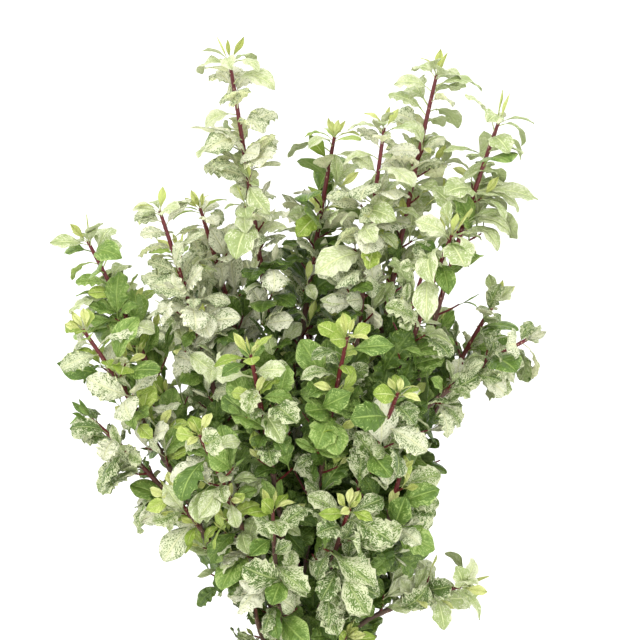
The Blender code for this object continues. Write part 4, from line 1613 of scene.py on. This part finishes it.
# %% Leaf finishes
Paint = namedtuple("Paint", "field cloud fleck cover rim dash rib gloss")
LEAF_PAINTS = {
    # Painted shade: the cream top is a little darker than the leaf's own cream, against the strong light on
    # tops.
    "cream": Paint((210, 211, 184), (198, 204, 164), (78, 100, 50), 0.35, 0.12, 11, (214, 216, 172), 0.56),
    "mottled": Paint((78, 102, 44), (108, 132, 62), (202, 205, 168), 0.46, 0.16, 10, (158, 174, 110), 0.46),
    "lime": Paint((124, 148, 52), (156, 176, 80), (192, 204, 118), 0.22, 0.10, 7, (204, 216, 140), 0.40),
    "tip": Paint((174, 184, 96), (196, 202, 126), (214, 216, 156), 0.26, 0.08, 7, (212, 220, 142), 0.42),
    "pale": Paint((150, 166, 106), (180, 189, 140), (206, 210, 176), 0.40, 0.16, 8, (216, 226, 166), 0.46),
    "green": Paint((80, 108, 40), (112, 140, 62), (156, 176, 102), 0.26, 0.16, 7, (150, 174, 92), 0.40),
    # Painted shade: the dark sort's paint is partly the old inner leaves' own green and partly the shade deep
    # in the crown.
    "shade": Paint((60, 84, 24), (84, 110, 38), (126, 144, 76), 0.26, 0.14, 8, (108, 130, 62), 0.42),
}
UNDER_PAINTS = {
    # Painted light: the cream underside is paler than the leaf's own underside, to lift the shade that falls
    # on undersides.
    "cream": Paint((240, 239, 205), (232, 234, 186), (174, 187, 128), 0.36, 0.10, 14, (230, 228, 192), 0.68),
    "mottled": Paint((146, 162, 106), (168, 180, 128), (208, 211, 174), 0.42, 0.12, 9, (184, 196, 142), 0.66),
    "lime": Paint((158, 184, 90), (178, 200, 112), (196, 208, 136), 0.20, 0.06, 7, (196, 208, 132), 0.62),
    "tip": Paint((188, 200, 112), (208, 214, 140), (216, 220, 158), 0.20, 0.06, 7, (212, 220, 146), 0.62),
    "pale": Paint((174, 186, 134), (194, 200, 160), (210, 212, 184), 0.26, 0.08, 8, (200, 210, 158), 0.66),
    "green": Paint((116, 142, 70), (138, 160, 90), (164, 180, 116), 0.20, 0.06, 7, (158, 176, 106), 0.62),
    # Painted shade, as on the top: the dark sort's underside is partly shade painted in.
    "shade": Paint((84, 104, 50), (98, 118, 62), (124, 142, 86), 0.20, 0.06, 8, (118, 138, 78), 0.60),
}
WAX = 0.28
VEIN_SLANT = 0.20
SIDE_VEINS = 7.5
STREAKS = 38
LEAF_RELIEF = 0.0007

def leaf_finish(name, paint):
    finish = Finish(f"leaf_{name}")
    chart = finish.node("ShaderNodeUVMap", {"uv_map": "leaf"}, {})
    u, v, _ = finish.parts(chart)
    side = u * 2 - 1
    out = abs(side)
    seed = finish.stored("seed")
    vein = v - out * VEIN_SLANT
    streaks = finish.clouds(1.0, finish.vector(vein * STREAKS, side * paint.dash, seed * 71), detail=2)
    patches = finish.clouds(1.0, finish.vector(vein * 5, side * 1.6, seed * 53 + 9), detail=1)
    edge = 0.5 + (0.5 - paint.cover) * 0.42
    level = streaks + (patches - 0.5) * 0.35 + (seed - 0.5) * 0.10 + (out - 0.5) * paint.rim
    flecks = finish.fade(level, edge - 0.02, edge + 0.035)
    field = finish.fade(patches + (streaks - 0.5) * 0.8 + (seed - 0.5) * 0.6, 0.26, 0.74)
    tone = finish.blend(field, srgb(*paint.field), srgb(*paint.cloud))
    tone = finish.blend(flecks * 0.88, tone, srgb(*paint.fleck))
    ladder = abs((vein * SIDE_VEINS + patches * 1.6 + seed) % 1.0 - 0.5)
    side_veins = (1 - finish.fade(ladder, 0.02, 0.10)) * (1 - finish.fade(out, 0.2, 0.8)) * 0.25
    midrib = 1 - finish.fade(out, 0.03, 0.10)
    stalk = 1 - finish.fade(v, STALK, STALK + 0.05)
    ribs = finish.node("ShaderNodeMath", {"operation": "MAXIMUM"}, {0: midrib, 1: side_veins})
    ribs = finish.node("ShaderNodeMath", {"operation": "MAXIMUM"}, {0: ribs, 1: stalk})
    tone = finish.blend(ribs * 0.8, tone, srgb(*paint.rib))
    height = finish.fade(ladder, 0.0, 0.5) * 0.4 - midrib * 0.6 + streaks * 0.5
    return finish.paint(
        base_color=tone,
        roughness=paint.gloss,
        specular_ior_level=WAX,
        normal=finish.relief(height, LEAF_RELIEF),
    )


leaf_finishes = {sort: leaf_finish(sort, paint) for sort, paint in LEAF_PAINTS.items()}
under_finishes = {sort: leaf_finish(f"{sort}_under", paint) for sort, paint in UNDER_PAINTS.items()}

# %% [markdown]
# ## Setting out the leaves
#
# Every leaf is one point that stores its turn, its length, its shape and its seed. The recipe
# puts the chosen shape on each point and makes it real, because the export drops instances. All
# leaves of one sort are one piece, so that each sort keeps its own colour.

# %% The leaf recipe
SHAPES_OF = {
    "cream": "broad ruffled wavy rolled crisped broad arched ruffled",
    "mottled": "ruffled crisped rolled ruffled arched crisped wavy",
    "lime": "lance slender lance broad lance arched",
    "pale": "arched hooked lance arched hooked wavy arched",
    "tip": "young lance",
    "green": "broad lance broad arched wavy hooked",
    "shade": "broad wavy ruffled arched",
}
YOUNG_SHAPES_FROM = 0.4
PLAIN_BELOW = LOWEST_LEAF + 0.03

def leaf_recipe():
    recipe = Recipe("leaves_on_points", Leaves="Collection", Upper="Material", Underside="Material")
    shapes = recipe.node("GeometryNodeCollectionInfo", {}, {0: recipe.given("Leaves"), 1: True, 2: True})
    sockets = {
        "Points": recipe.given("Geometry"),
        "Instance": shapes,
        "Pick Instance": True,
        "Instance Index": recipe.stored("shape", "INT"),
        "Rotation": recipe.stored("turn", "QUATERNION"),
        "Scale": recipe.stored("length"),
    }
    placed = recipe.node("GeometryNodeInstanceOnPoints", {}, sockets)
    recipe.finish_with(placed, Upper=None, Underside="underside")
    return recipe


def shape_of(leaf, seed):
    """The place of a leaf's shape in the names: slim at a tip, broad just above the pot."""
    if leaf.young > YOUNG_SHAPES_FROM:
        newest = "slender hooked" if leaf.sort == "pale" else "young slender"
        return SHAPE_NAMES.index(newest.split()[seed > 0.6])
    if leaf.base.z < PLAIN_BELOW:
        return SHAPE_NAMES.index("broad")
    choices = SHAPES_OF[leaf.sort].split()
    return SHAPE_NAMES.index(choices[int(seed * 977 % 1 * len(choices))])


def leaf_points(name, leaves):
    """A mesh of loose points, one for each leaf, that store what the recipe reads."""
    mesh = bpy.data.meshes.new(name)
    mesh.from_pydata([leaf.base for leaf in leaves], [], [])
    turns, seeds = [], []
    for index, leaf in enumerate(leaves):
        across = leaf.along.cross(leaf.normal)
        turns += Matrix((across, leaf.along, leaf.normal)).transposed().to_quaternion()[:]
        seeds.append(chance(index, leaf.base.x * 900, leaf.base.z * 700))
    stored = {
        "turn": ("QUATERNION", turns),
        "length": ("FLOAT", [leaf.length for leaf in leaves]),
        "seed": ("FLOAT", seeds),
        "shape": ("INT", [shape_of(leaf, seed) for leaf, seed in zip(leaves, seeds)]),
    }
    for key, (kind, values) in stored.items():
        mesh.attributes.new(key, kind, "POINT").data.foreach_set("value", values)
    return mesh


# %% One piece for each sort of leaf
recipe = leaf_recipe()
for sort in LEAF_PAINTS:
    leaves = [leaf for mass in masses for leaf in mass.leaves if leaf.sort == sort]
    piece = recipe.bake(
        f"leaves_{sort}",
        leaf_points(f"{sort}_points", leaves),
        Leaves=leaf_shapes,
        Upper=leaf_finishes[sort],
        Underside=under_finishes[sort],
    )
    print(sort, "leaves:", len(leaves))
    settle(piece, "leaves", *foliage_nodes)
for shape in list(leaf_shapes.objects):
    bpy.data.objects.remove(shape)

# %% The end
bpy.context.view_layer.update()
